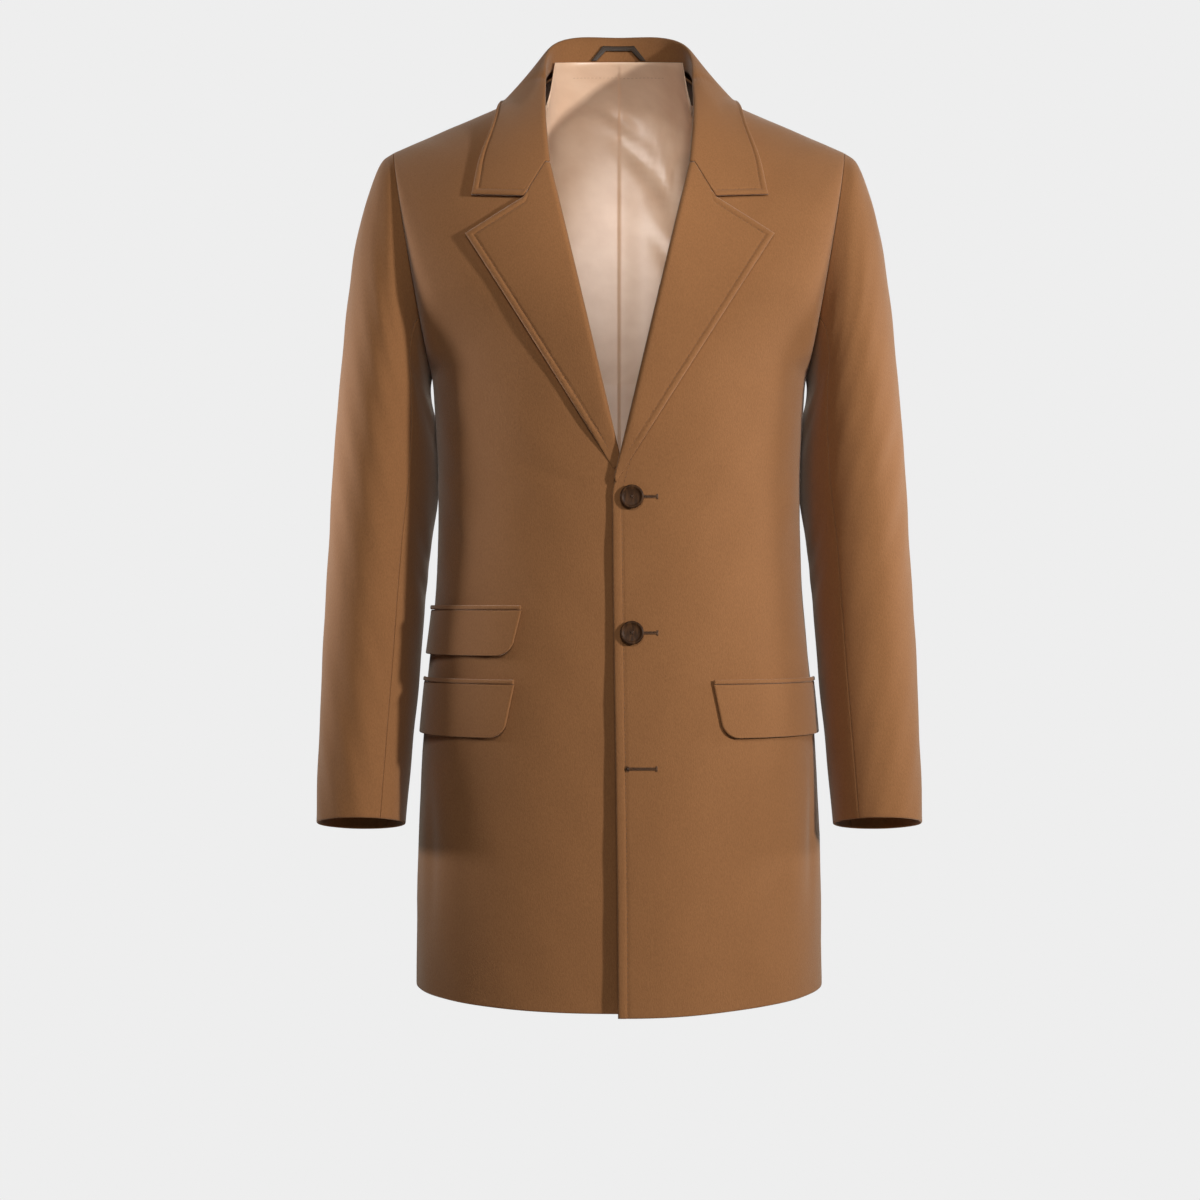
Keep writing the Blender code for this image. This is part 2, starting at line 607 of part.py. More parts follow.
def wall_direction(point, across, up, outward, rim_planes):
    """The way out of the cloth at a place, kept within the planes of the seams that end there."""
    left, right = max(across - SLOPE_STEP, 0.0), min(across + SLOPE_STEP, 1.0)
    low, high = max(up - SLOPE_STEP, 0.0), min(up + SLOPE_STEP, 1.0)
    along = point(right, up) - point(left, up)
    rise = point(across, high) - point(across, low)
    direction = np.cross(along, rise) * outward
    direction /= np.linalg.norm(direction)
    for plane in rim_planes(across, up):
        direction -= plane * direction.dot(plane)
        direction /= np.linalg.norm(direction)
    return direction


def no_seams(across, up):
    return ()


def cloth_wall(name, point, columns, rows, thickness, outward, material, rim_planes=no_seams):
    """A wall of cloth: point(across, up) is its outer face, and the inner face lies behind it.

    thickness is a number, or a function of the same two shares.
    """
    cloth = bmesh.new()
    bmesh.ops.create_grid(cloth, x_segments=columns, y_segments=rows, size=0.5)
    behind = bmesh.ops.extrude_face_region(cloth, geom=cloth.faces[:])["geom"]
    inner = {item for item in behind if isinstance(item, bmesh.types.BMVert)}
    for vertex in cloth.verts:
        across = round((vertex.co.x + 0.5) * columns) / columns
        up = round((vertex.co.y + 0.5) * rows) / rows
        place = point(across, up)
        if vertex in inner:
            wall = thickness(across, up) if callable(thickness) else thickness
            place = place - wall_direction(point, across, up, outward, rim_planes) * wall
        vertex.co = Vector(place)
    bmesh.ops.recalc_face_normals(cloth, faces=cloth.faces[:])
    return finish_mesh(name, cloth, material)


def finish_mesh(name, shape, material):
    mesh = bpy.data.meshes.new(name)
    shape.to_mesh(mesh)
    shape.free()
    mesh.materials.append(material)
    mesh.shade_smooth()
    mesh.set_sharp_from_angle(angle=SHARP_ANGLE)
    thing = bpy.data.objects.new(name, mesh)
    bpy.context.scene.collection.objects.link(thing)
    return thing


def body_rims(side_of):
    """Seam planes of a body panel: side and shoulder seams lie across Y, armholes in their plane."""
    def planes(across, up):
        side = side_of(across)
        found = []
        if side and up <= 0.5:
            found.append(AXIS_Y)
        if side and up >= 0.5:
            found.append(armhole_normal(side))
        if up == 1.0 and not side:
            found.append(AXIS_Y)
        return found
    return planes


def build_body(wool, name_of_side):
    for side, word in name_of_side.items():
        def point(across, up, side=side):
            return front_point(side, across, up)

        def at_side(across, side=side):
            return side if across == 1.0 else 0
        rows = LOWER_ROWS + ARMHOLE_ROWS
        cloth_wall(f"front_{word}", point, FRONT_COLUMNS, rows, CLOTH, side, wool, body_rims(at_side))

    def whole_back(across, up):
        return back_point(back_column(across), up)

    def at_either_side(across):
        return {0.0: RIGHT, 1.0: LEFT}.get(across, 0)
    columns, rows = 2 * (len(BACK_COLUMNS) - 1), LOWER_ROWS + ARMHOLE_ROWS
    cloth_wall("back", whole_back, columns, rows, CLOTH, -1, wool, body_rims(at_either_side))


def build_sleeves(wool, name_of_side):
    for side, word in name_of_side.items():
        spread = SEAM_GAP / 2 / ARMHOLE_HALF_DEPTH
        top = SLEEVE_SEAM_ANGLE - spread
        under = SLEEVE_SEAM_ANGLE + spread

        def top_sleeve(across, along, side=side):
            return sleeve_point(side, blend(-top, top, across), along)

        def under_sleeve(across, along, side=side):
            return sleeve_point(side, blend(under, 2.0 * math.pi - under, across), along)

        def planes(across, along, side=side):
            return (armhole_normal(side),) if along == 0.0 else ()
        pieces = (("top", top_sleeve, TOP_SLEEVE_COLUMNS), ("under", under_sleeve, UNDER_SLEEVE_COLUMNS))
        for piece, point, columns in pieces:
            name = f"sleeve_{piece}_{word}"
            cloth_wall(name, point, columns, SLEEVE_ROWS, CLOTH, side, wool, planes)


def build_collar_and_lapels(wool, name_of_side):
    def whole_collar(across, out):
        return collar_point(2.0 * across - 1.0, out)

    def collar_ends(across, out):
        return (AXIS_Z,) if across in (0.0, 1.0) else ()
    columns = 2 * COLLAR_HALF_COLUMNS
    cloth_wall("collar", whole_collar, columns, LAPEL_COLUMNS, DOUBLED_CLOTH, 1, wool, collar_ends)

    def lapel_top(out, down):
        return (AXIS_Z,) if down == 0.0 else ()

    def lapel_wall(out, down):
        return lapel_fold(down)[0]
    for side, word in name_of_side.items():
        def point(out, down, side=side):
            return lapel_point(side, out, down)
        cloth_wall(f"lapel_{word}", point, LAPEL_COLUMNS, LAPEL_ROWS, lapel_wall, -side, wool, lapel_top)


def build_pockets(wool):
    for flap in FLAPS:
        def hang(across, down, flap=flap):
            return flap_point(flap, across, down)

        def bind(across, down, flap=flap):
            return welt_point(flap, across, down)
        cloth_wall(f"flap_{flap.name}", hang, FLAP_COLUMNS, FLAP_ROWS, FLAP_CLOTH, -flap.side, wool)
        cloth_wall(f"welt_{flap.name}", bind, FLAP_COLUMNS, 1, WELT_CLOTH, -flap.side, wool)


def build_lining(satin):
    def inside_back(across, up):
        return lining_point(back_column(across), through(LINING_ROWS, up))
    columns, rows = 2 * (len(BACK_COLUMNS) - 1), len(LINING_ROWS) - 1
    cloth_wall("lining_back", inside_back, columns, rows, LINING_CLOTH, -1, satin)


def build_buttons(horn):
    profile = (
        (0.0, BUTTON_HEIGHT - BUTTON_DISH),
        (BUTTON_RADIUS - BUTTON_RIM, BUTTON_HEIGHT - BUTTON_DISH),
        (BUTTON_RADIUS - BUTTON_RIM_INNER * BUTTON_RIM, BUTTON_HEIGHT),
        (BUTTON_RADIUS - BUTTON_RIM_OUTER * BUTTON_RIM, BUTTON_HEIGHT),
        (BUTTON_RADIUS, BUTTON_EDGE_SHARE * BUTTON_HEIGHT),
        (BUTTON_FOOT_SHARE * BUTTON_RADIUS, 0.0),
        (0.0, 0.0),
    )
    for name, level in BUTTON_LEVELS.items():
        disc = bmesh.new()
        ring = [disc.verts.new((radius, 0.0, height)) for radius, height in profile]
        edges = [disc.edges.new(pair) for pair in zip(ring, ring[1:])]
        bmesh.ops.spin(disc, geom=ring + edges, cent=(0, 0, 0), axis=(0, 0, 1), angle=2.0 * math.pi,
                       steps=BUTTON_SIDES, use_merge=True)
        bmesh.ops.remove_doubles(disc, verts=disc.verts[:], dist=1e-6)
        bmesh.ops.recalc_face_normals(disc, faces=disc.faces[:])
        button = finish_mesh(name, disc, horn)
        centre = Vector((BUTTON_X, front_y(LEFT, BUTTON_X, level, BUTTON_STAND), level))
        high_y = front_y(LEFT, BUTTON_X, level + BUTTON_RADIUS)
        low_y = front_y(LEFT, BUTTON_X, level - BUTTON_RADIUS)
        lean = math.atan2(high_y - low_y, 2.0 * BUTTON_RADIUS)
        button.matrix_world = Matrix.Translation(centre) @ Matrix.Rotation(math.pi / 2 - lean, 4, "X")
        pierce_button(button)


def pierce_button(button):
    """Four sewing holes, cut by pins that stay hidden."""
    for turn in range(BUTTON_HOLES):
        pin = bmesh.new()
        bmesh.ops.create_cone(pin, cap_ends=True, segments=PIN_SIDES, radius1=BUTTON_HOLE_RADIUS,
                              radius2=BUTTON_HOLE_RADIUS, depth=4.0 * BUTTON_HEIGHT)
        angle = 2.0 * math.pi * (turn + 0.5) / BUTTON_HOLES
        corner = Matrix.Rotation(angle, 4, "Z") @ Vector((BUTTON_HOLE_SPREAD, 0, 0))
        bmesh.ops.translate(pin, verts=pin.verts[:], vec=corner)
        cutter = finish_mesh(f"{button.name}_pin_{turn}", pin, button.data.materials[0])
        cutter.parent = button
        cutter.hide_render = True
        cutter.display_type = "WIRE"
        hole = button.modifiers.new(f"hole_{turn}", "BOOLEAN")
        hole.operation = "DIFFERENCE"
        hole.object = cutter


def stand_place(x, level):
    """The place on the collar's stand, near the centre of the back, at X and Z."""
    across = x / COLLAR_STATIONS[1].fold_x / COLLAR_STATIONS[-1].station
    out = halved(0.0, ROLL_SHARE, lambda place: collar_point(across, place)[2] < level)
    return collar_point(across, out)


def loop_path(along, half_bottom, half_top, top):
    """X and Z on a flat-topped arch, from one foot over the top to the other."""
    leg = LOOP_LEG_SHARE
    if leg <= along <= 1.0 - leg:
        return blend(-half_top, half_top, (along - leg) / (1.0 - 2.0 * leg)), top
    rise = min(along, 1.0 - along) / leg
    half = blend(half_bottom, half_top, rise)
    return math.copysign(half, along - 0.5), blend(LOOP_LOW, top, rise)


def build_hanger_loop(braid):
    def loop_point(along, inward):
        half_bottom = LOOP_HALF_BOTTOM - LOOP_BAND * inward
        half_top = LOOP_HALF_TOP - LOOP_TOP_NARROWS * LOOP_BAND * inward
        x, level = loop_path(along, half_bottom, half_top, LOOP_HIGH - LOOP_BAND * inward)
        place = stand_place(x, level)
        place[1] -= LOOP_STAND
        return place
    cloth_wall("hanger_loop", loop_point, LOOP_COLUMNS, 1, LOOP_CLOTH, 1, braid)


def main():
    clear_scene()
    wool = new_material(CAMEL_WOOL)
    name_of_side = {LEFT: "left", RIGHT: "right"}
    build_body(wool, name_of_side)
    build_sleeves(wool, name_of_side)
    build_collar_and_lapels(wool, name_of_side)
    build_pockets(wool)
    build_lining(new_material(CREAM_SATIN))
    build_buttons(new_material(DARK_HORN))
    build_hanger_loop(new_material(DARK_BRAID))


main()
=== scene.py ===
"""Looks of a camel wool overcoat: fine cloth, sewing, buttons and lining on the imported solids.

Laid out as a Blender add-on and run as a script. Metres: the coat faces -Y, the wearer's left is +X,
+Z is up and the origin is the centre of the neck opening.
"""

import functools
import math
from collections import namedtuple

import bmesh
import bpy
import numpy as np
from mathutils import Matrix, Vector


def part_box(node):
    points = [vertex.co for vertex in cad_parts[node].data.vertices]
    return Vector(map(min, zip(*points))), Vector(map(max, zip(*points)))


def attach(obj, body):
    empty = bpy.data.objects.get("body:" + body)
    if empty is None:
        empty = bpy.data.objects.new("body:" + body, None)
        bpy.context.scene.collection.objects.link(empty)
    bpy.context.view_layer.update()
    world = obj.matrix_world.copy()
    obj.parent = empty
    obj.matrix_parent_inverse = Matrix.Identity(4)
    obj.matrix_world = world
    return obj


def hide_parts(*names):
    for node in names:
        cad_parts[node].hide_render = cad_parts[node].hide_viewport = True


bl_info = {
    "name": "Camel wool overcoat",
    "version": (1, 0, 0),
    "blender": (4, 5, 0),
    "location": "3D View > Sidebar > Overcoat",
    "description": "Sews the fine cloth of a hollow overcoat over its solids and sets its studio",
    "category": "Object",
}

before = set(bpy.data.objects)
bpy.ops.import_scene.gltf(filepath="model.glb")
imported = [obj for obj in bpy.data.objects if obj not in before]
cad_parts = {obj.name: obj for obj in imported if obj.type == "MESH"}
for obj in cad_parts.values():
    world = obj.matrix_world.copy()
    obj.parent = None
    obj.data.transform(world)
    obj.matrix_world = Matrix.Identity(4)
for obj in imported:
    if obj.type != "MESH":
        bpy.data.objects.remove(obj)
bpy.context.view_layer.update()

# Signs: the wearer's left is +X, and the coat faces -Y
LEFT, RIGHT = 1, -1
FRONT, BACK = -1, 1
NAME_OF_SIDE = {LEFT: "left", RIGHT: "right"}

# Walls and gaps
CLOTH = 0.0022
DOUBLED_CLOTH = 0.0030
FLAP_CLOTH = 0.0026
WELT_CLOTH = 0.0030
LINING_CLOTH = 0.0010
LOOP_CLOTH = 0.0012
SEAM_GAP = 0.0003

# Shoulders, neck and armholes
SEAM_Y = 0.012
NECK_HALF = 0.079
NECK_LEVEL = 0.0115
BACK_NECK_Y = 0.074
BACK_NECK_LEVEL = 0.0505
SHOULDER_HALF = 0.2255
SHOULDER_LEVEL = -0.0515
UNDERARM_HALF = 0.187
UNDERARM_LEVEL = -0.275
ARMHOLE_HALF_DEPTH = 0.066
FRONT_ROUNDNESS = 1.8
BACK_ROUNDNESS = 2.4
ARMHOLE_EDGE_POWER = 16
ARMHOLE_SPREADS_BY = 0.35

# Body below the armholes: how far each ring reaches to the side, the front and the back
BodyRing = namedtuple("BodyRing", "level half_width front_reach back_reach squareness")
BODY_RINGS = (
    BodyRing(-0.882, 0.2025, 0.150, 0.143, 2.40),
    BodyRing(-0.740, 0.2005, 0.149, 0.141, 2.40),
    BodyRing(-0.600, 0.1930, 0.146, 0.137, 2.40),
    BodyRing(-0.490, 0.1830, 0.139, 0.122, 2.40),
    BodyRing(-0.400, 0.1808, 0.136, 0.113, 2.35),
    BodyRing(-0.330, 0.1830, 0.139, 0.1185, 2.30),
    BodyRing(UNDERARM_LEVEL, UNDERARM_HALF, 0.140, 0.1215, 2.30),
)
HEM_LEVEL = BODY_RINGS[0].level
FRONT_HEM_DIP = {LEFT: 0.010, RIGHT: 0.0075}
HEM_DIP_FADE = 0.16
BODY_ROWS = (HEM_LEVEL, -0.76, -0.64, -0.53, -0.44, -0.393, -0.372, -0.35, -0.314, UNDERARM_LEVEL)
BODY_STEPS = 2 * (len(BODY_ROWS) - 1)
NECK_POINT_SHARE = 0.25

# Front edges, overlap and lapels
FRONT_EDGE = {LEFT: -0.0077, RIGHT: -0.030}
FRONT_EDGE_SWING = {LEFT: 0.0055, RIGHT: 0.0}
OVERLAP_LIFT_TOP = 0.0056
OVERLAP_LIFT_HEM = 0.0115
OVERLAP_FROM, OVERLAP_TO = 0.034, 0.125
OVERLAP_ENDS_AT = -0.20
OVERLAP_TOP = -0.352
BREAK_BELOW = 0.022
GORGE = (0.0668, -0.078)
NECK_ROLL = (0.0735, 0.012)
NOTCH = (0.0920, -0.113)
LAPEL_TIP = (0.1487, -0.148)
ROLL_END = {LEFT: (-0.0063, -0.386), RIGHT: (-0.0022, -0.372)}
LAPEL_END = {LEFT: (-0.0042, -0.3895), RIGHT: (0.0058, -0.3765)}
ROLL_GAP = 0.0022
ROLL_RADIUS = ROLL_GAP + DOUBLED_CLOTH
LAPEL_EDGE_GAP = 0.0020
LAPEL_THINS_FROM = 0.80
LAPEL_END_CLOTH = 0.0010
LAPEL_END_GAP = 0.0004
LAPEL_STITCHED_TO = 0.020
ROLL_SHARE = 1 / 3
NOTCH_SHARE = 1 / 3
NOTCH_FADE = 0.30
GORGE_GAP = 0.0004
FOLD_CLEAR = 0.0022
NECK_CLEAR = 0.0022
NECK_CLEAR_FROM, NECK_CLEAR_TO = GORGE[1] - 0.03, GORGE[1] + 0.02

# Collar, from the centre of the back (station 0) to the gorge (station 6)
CollarStation = namedtuple(
    "CollarStation", "station neck_x neck_y neck_z fold_x fold_y fold_z edge_x edge_y edge_z"
)
COLLAR_STATIONS = (
    CollarStation(0, 0.0000, 0.0712, 0.0520, 0.0000, 0.0770, 0.0795, 0.0000, 0.1085, 0.0220),
    CollarStation(1, 0.0420, 0.0600, 0.0480, 0.0420, 0.0655, 0.0772, 0.0540, 0.0980, 0.0180),
    CollarStation(2, 0.0660, 0.0375, 0.0365, 0.0655, 0.0430, 0.0655, 0.0970, 0.0640, -0.0010),
    CollarStation(3, 0.0740, 0.0110, 0.0195, 0.0745, 0.0140, 0.0440, 0.1180, 0.0100, -0.0015),
    CollarStation(4, 0.0745, -0.0270, 0.0030, 0.0735, -0.0310, 0.0090, 0.1262, -0.0350, -0.0360),
    CollarStation(5, 0.0730, -0.0620, -0.0330, 0.0712, -0.0660, -0.0340, 0.1365, -0.0700, -0.0700),
    CollarStation(6, 0.0720, -0.0900, -0.0780, GORGE[0], -0.0950, GORGE[1], 0.1435, -0.0850, -0.1090),
)
COLLAR_ROWS = tuple(
    row._replace(station=-row.station, neck_x=-row.neck_x, fold_x=-row.fold_x, edge_x=-row.edge_x)
    for row in reversed(COLLAR_STATIONS[1:])
) + COLLAR_STATIONS
COLLAR_CLEAR = 0.0055
FOLD_REACH = 0.0045
FALL_REACH = 0.0060
STAND_UPRIGHT, FALL_STRAIGHT = 0.6, 0.45
LAID_FROM, LAID_TO = 3.2, 5.0
COLLAR_END_FROM = 0.86
CLEAR_SOFTNESS = 0.002

# Sleeve rings from the armhole to the cuff: outer and inner points of each ring, its depth, and how
# far back its inner side lies against the body
SleeveRing = namedtuple(
    "SleeveRing", "along outer_x outer_z inner_x inner_z centre_y half_depth tilt inner_back"
)
SLEEVE_RINGS = (
    SleeveRing(0, SHOULDER_HALF, SHOULDER_LEVEL, UNDERARM_HALF, UNDERARM_LEVEL, SEAM_Y,
               ARMHOLE_HALF_DEPTH, 0.0, 0.0),
    SleeveRing(1, 0.2385, -0.0620, 0.1880, -0.2800, 0.0115, 0.0700, 0.00, 0.000),
    SleeveRing(2, 0.2490, -0.0900, 0.1890, -0.2890, 0.0105, 0.0735, 0.00, 0.002),
    SleeveRing(3, 0.2605, -0.1300, 0.1880, -0.3030, 0.0090, 0.0750, 0.00, 0.010),
    SleeveRing(4, 0.2690, -0.1850, 0.1835, -0.3250, 0.0075, 0.0748, 0.00, 0.020),
    SleeveRing(5, 0.2765, -0.2550, 0.1812, -0.3580, 0.0065, 0.0728, 0.01, 0.026),
    SleeveRing(6, 0.2830, -0.3300, 0.1828, -0.4000, 0.0055, 0.0700, 0.03, 0.020),
    SleeveRing(7, 0.2880, -0.4100, 0.1890, -0.4500, 0.0040, 0.0672, 0.06, 0.010),
    SleeveRing(8, 0.2920, -0.4900, 0.1940, -0.5100, -0.0005, 0.0642, 0.10, 0.004),
    SleeveRing(9, 0.2950, -0.5700, 0.1990, -0.5800, -0.0105, 0.0605, 0.14, 0.000),
    SleeveRing(10, 0.2970, -0.6450, 0.2048, -0.6500, -0.0230, 0.0570, 0.17, 0.000),
    SleeveRing(11, 0.2980, -0.7200, 0.2105, -0.7200, -0.0370, 0.0540, 0.195, 0.000),
)
SLEEVE_SEAM_ANGLE = math.radians(122)

# Pocket flaps and their welts: front end, top and bottom levels
Flap = namedtuple("Flap", "name side front_x top_level bottom_level")
FLAPS = (
    Flap("hip_left", LEFT, 0.0870, -0.5800, -0.6310),
    Flap("hip_right", RIGHT, 0.0986, -0.5800, -0.6310),
    Flap("ticket_right", RIGHT, 0.0920, -0.5095, -0.5530),
)
FLAP_END_ANGLE = math.radians(84)
FLAP_SLANT = 0.010
FLAP_CORNER = 0.014
FLAP_OUT_TOP, FLAP_OUT_BOTTOM = 0.0036, 0.0048
WELT_HEIGHT = 0.0042
WELT_OUT = 0.0047

# Buttons, buttonholes and hanger loop
BUTTON_X = 0.011
BUTTON_LEVELS = {"button_top": -0.4024, "button_middle": -0.531}
BUTTON_STAND = 0.0008
BUTTON_HEIGHT, BUTTON_DISH = 0.0042, 0.0012
BUTTON_FLOOR = BUTTON_HEIGHT - BUTTON_DISH
BUTTON_SPIN = 72
SEWING_HOLES_OUT, SEWING_RISE, BUTTON_THREAD = 0.0021, 0.0002, 0.0011
LOWEST_BUTTONHOLE = (0.008, -0.6585)
BUTTONHOLE_BEHIND = 0.002
LOOP_HALF_BOTTOM, LOOP_HALF_TOP = 0.027, 0.016
LOOP_LOW, LOOP_HIGH = 0.0530, 0.0690
LOOP_BAND = 0.0052
LOOP_STAND = 0.0018
LOOP_LEG_SHARE = 0.3
LOOP_TOP_NARROWS = 0.6

# A button's profile from the middle of its face round to its back: share of the radius, and height
BUTTON_PROFILE = (
    (0.0, BUTTON_FLOOR - 0.0002), (0.30, BUTTON_FLOOR - 0.0001), (0.62, BUTTON_FLOOR),
    (0.72, BUTTON_FLOOR + 0.0002), (0.79, BUTTON_HEIGHT - 0.0003), (0.85, BUTTON_HEIGHT),
    (0.91, BUTTON_HEIGHT - 0.0001), (0.97, BUTTON_HEIGHT - 0.0006), (1.0, BUTTON_HEIGHT - 0.0015),
    (0.98, BUTTON_HEIGHT - 0.0025), (0.90, 0.0006), (0.78, 0.0), (0.0, 0.0),
)

# Buttonholes: threads on both sides of a slit, round an eye at its front and as a bar at its end
HOLE_PITCH, HOLE_INNER, HOLE_OUTER = 0.00075, 0.0004, 0.0017
HOLE_RAISED, HOLE_BEDDED, SLIT_RAISED = 0.0005, 0.0001, 0.0003
TWIST_WIDTH, SLIT_WIDTH = 0.0007, 0.0010
BAR_THREADS, BAR_PITCH, BAR_HALF, BAR_WIDTH = 3, 0.0006, 0.0026, 0.0008
EYE_AHEAD, EYE_INNER, EYE_OUTER, EYE_THREADS = 0.0012, 0.0016, 0.0030, 14
EYE_HALF, EYE_WIDTH = 0.0015, 0.0030

# Lining of the back, seen through the neck
LINING_GAP = 0.0030
LINING_NARROWS_FROM, LINING_SIDE_SHARE = 0.75, 0.96
LINING_HEM_ROW, LINING_TOP_ROW = 0.25, 17.7
LINING_SHOULDER_DROP = 0.55
LINING_DROP_FROM, LINING_DROP_TO = 0.20, 0.27
LINING_RISES_FROM_ROW = 16
LINING_RISE_FROM, LINING_RISE_TO = 0.23, 0.25
LINING_TURNS_FROM_ROW, LINING_TURNS_TO_ROW = 15.8, 17.4
LINING_TURN_FROM, LINING_TURN_TO = 0.24, 0.31
LINING_TOP_LEVEL, LINING_TOP_SLOPE = 0.0523, 0.217
LINING_STAND_GAP = 0.0026
NECK_POINT_STATION = 3

AXIS_Y = np.array((0.0, 1.0, 0.0))
AXIS_Z = np.array((0.0, 0.0, 1.0))
SLOPE_STEP = 1e-4
SETTLE_ROUNDS = 6
HALVINGS = 30

# Fine grids: distances of the first steps in from an edge, where the cloth rounds over and is stitched
EDGE_STEPS = (0.0, 0.0004, 0.0010, 0.0018, 0.0028, 0.0039, 0.0049, 0.0056, 0.0062, 0.0068, 0.0075,
              0.0086, 0.0102, 0.0125)
CORNER_STEPS = len(EDGE_STEPS) // 2 + 2
WIDE_ENOUGH = 0.040
ROLL_STEPS = 14

# Fine grids: columns and rows, and the width and length that their steps are shared out over; None
# where the steps are even or are measured on the panel itself
Grid = namedtuple("Grid", "columns rows width length")
FRONT_GRID = Grid(88, 152, 0.24, 0.60)
BACK_GRID = FRONT_GRID._replace(columns=136, width=0.56)
CHEST_LENGTH = 0.40
TOP_SLEEVE_COLUMNS, UNDER_SLEEVE_COLUMNS = 84, 44
SLEEVE_ROWS, SLEEVE_LENGTH = 130, 0.70
HALF_COLLAR_GRID = Grid(90, 62, 0.27, None)
LAPEL_GRID = Grid(62, 132, None, 0.31)
FLAP_GRID = Grid(72, 52, 0.13, 0.05)
WELT_GRID = Grid(72, 28, 0.13, 0.05)
HALF_LINING_GRID = Grid(70, 150, 0.27, 0.90)
LOOP_GRID = Grid(72, 28, None, 0.05)

# Evening out at underarm level: rows on each side of it, rounds, and the share held at the panel's sides
SOFT_REACH, SOFT_ROUNDS, SOFT_SIDES = 20, 120, 0.12

# Waves of the hanging cloth: metres across and up for one wave
BUMP_PERIODS = ((0.083, 0.131), (0.057, -0.109), (-0.149, 0.071))

# How a piece's edge is rounded: over how far, and by what share of its thickness
Edge = namedtuple("Edge", "radius drop")
FREE_EDGE = Edge(0.0016, 0.46)
SEAM_EDGE = Edge(0.0010, 0.26)
ALL_FREE = dict.fromkeys(("left", "right", "low", "high"), FREE_EDGE)
ALL_SEWN = dict.fromkeys(ALL_FREE, SEAM_EDGE)

# Stitched edges: where the cloth's puff is full and where it falls again, as shares of the inset, and
# the places where the stitching of the left front, the collar's fall and the lapels begins or ends
PUFF_RISES_TO, PUFF_FALLS_FROM = 0.40, 0.55
FRONT_SWELL = {LEFT: 0.8, RIGHT: 0.0}
SWELL_FULL_BELOW, SWELL_STARTS_BELOW = 0.04, 0.01
FRONT_STITCH_ROWS = (3, 62)
FALL_SWELLS_FROM, FALL_SWELLS_BY = ROLL_STEPS + 4.0, ROLL_STEPS + 12.0
LAPEL_SWELLS_FROM, LAPEL_SWELLS_BY = LAPEL_STITCHED_TO, 0.040
STITCH_OVERRUN = 1.1

# Folds fade out towards sewn edges over these distances, and towards their own ends by a power
BODY_FOLDS_FADE, SLEEVE_FOLDS_FADE, LINING_FOLDS_FADE = 0.03, 0.02, 0.02
CREASE_END_POWER = 1.5

# A crease on a panel, in metres from the panel's left and low edges; depth is below 0 for a trough
Crease = namedtuple("Crease", "start_u start_v end_u end_v bow width depth")
FRONT_CREASES = {
    LEFT: (
        Crease(0.232, 0.250, 0.214, 0.070, 0.006, 0.011, -0.0026),
        Crease(0.205, 0.215, 0.190, 0.030, -0.008, 0.018, 0.0018),
        Crease(0.165, 0.190, 0.155, 0.010, 0.006, 0.024, -0.0012),
        Crease(0.235, 0.480, 0.150, 0.400, 0.010, 0.020, -0.0012),
        Crease(0.130, 0.640, 0.060, 0.560, 0.008, 0.024, -0.0010),
    ),
    RIGHT: (
        Crease(0.250, 0.230, 0.240, 0.040, -0.005, 0.014, -0.0020),
        Crease(0.205, 0.200, 0.196, 0.015, 0.007, 0.024, 0.0014),
        Crease(0.160, 0.430, 0.150, 0.250, 0.004, 0.020, -0.0008),
        Crease(0.248, 0.470, 0.170, 0.410, -0.008, 0.018, -0.0012),
    ),
}
BACK_CREASES = (
    Crease(0.165, 0.560, 0.190, 0.090, 0.012, 0.026, -0.0022),
    Crease(0.400, 0.585, 0.372, 0.060, -0.010, 0.030, -0.0020),
    Crease(0.275, 0.500, 0.285, 0.050, 0.006, 0.036, 0.0016),
    Crease(0.090, 0.470, 0.210, 0.420, 0.010, 0.018, -0.0014),
    Crease(0.470, 0.460, 0.355, 0.430, -0.008, 0.017, -0.0013),
    Crease(0.070, 0.700, 0.130, 0.570, -0.010, 0.020, -0.0014),
    Crease(0.485, 0.690, 0.430, 0.560, 0.008, 0.020, -0.0012),
)
TOP_SLEEVE_CREASES = {
    LEFT: (
        Crease(0.230, 0.255, 0.165, 0.300, 0.006, 0.012, -0.0014),
        Crease(0.235, 0.305, 0.150, 0.370, -0.005, 0.014, -0.0013),
        Crease(0.020, 0.300, 0.070, 0.385, 0.006, 0.014, -0.0018),
        Crease(0.015, 0.350, 0.060, 0.430, -0.004, 0.012, -0.0014),
        Crease(0.215, 0.060, 0.190, 0.170, 0.005, 0.014, -0.0010),
        Crease(0.125, 0.430, 0.118, 0.600, 0.006, 0.022, 0.0009),
    ),
    RIGHT: (
        Crease(0.045, 0.270, 0.110, 0.318, -0.006, 0.013, -0.0013),
        Crease(0.035, 0.320, 0.118, 0.365, 0.006, 0.014, -0.0015),
        Crease(0.240, 0.315, 0.195, 0.395, -0.006, 0.013, -0.0017),
        Crease(0.250, 0.365, 0.205, 0.445, 0.005, 0.012, -0.0013),
        Crease(0.060, 0.070, 0.080, 0.180, -0.005, 0.015, -0.0010),
        Crease(0.140, 0.450, 0.150, 0.610, -0.006, 0.022, 0.0009),
    ),
}
UNDER_SLEEVE_CREASES = (
    Crease(0.010, 0.170, 0.090, 0.205, 0.004, 0.011, -0.0015),
    Crease(0.012, 0.215, 0.085, 0.240, -0.004, 0.010, -0.0012),
    Crease(0.020, 0.040, 0.085, 0.090, 0.006, 0.013, -0.0014),
)
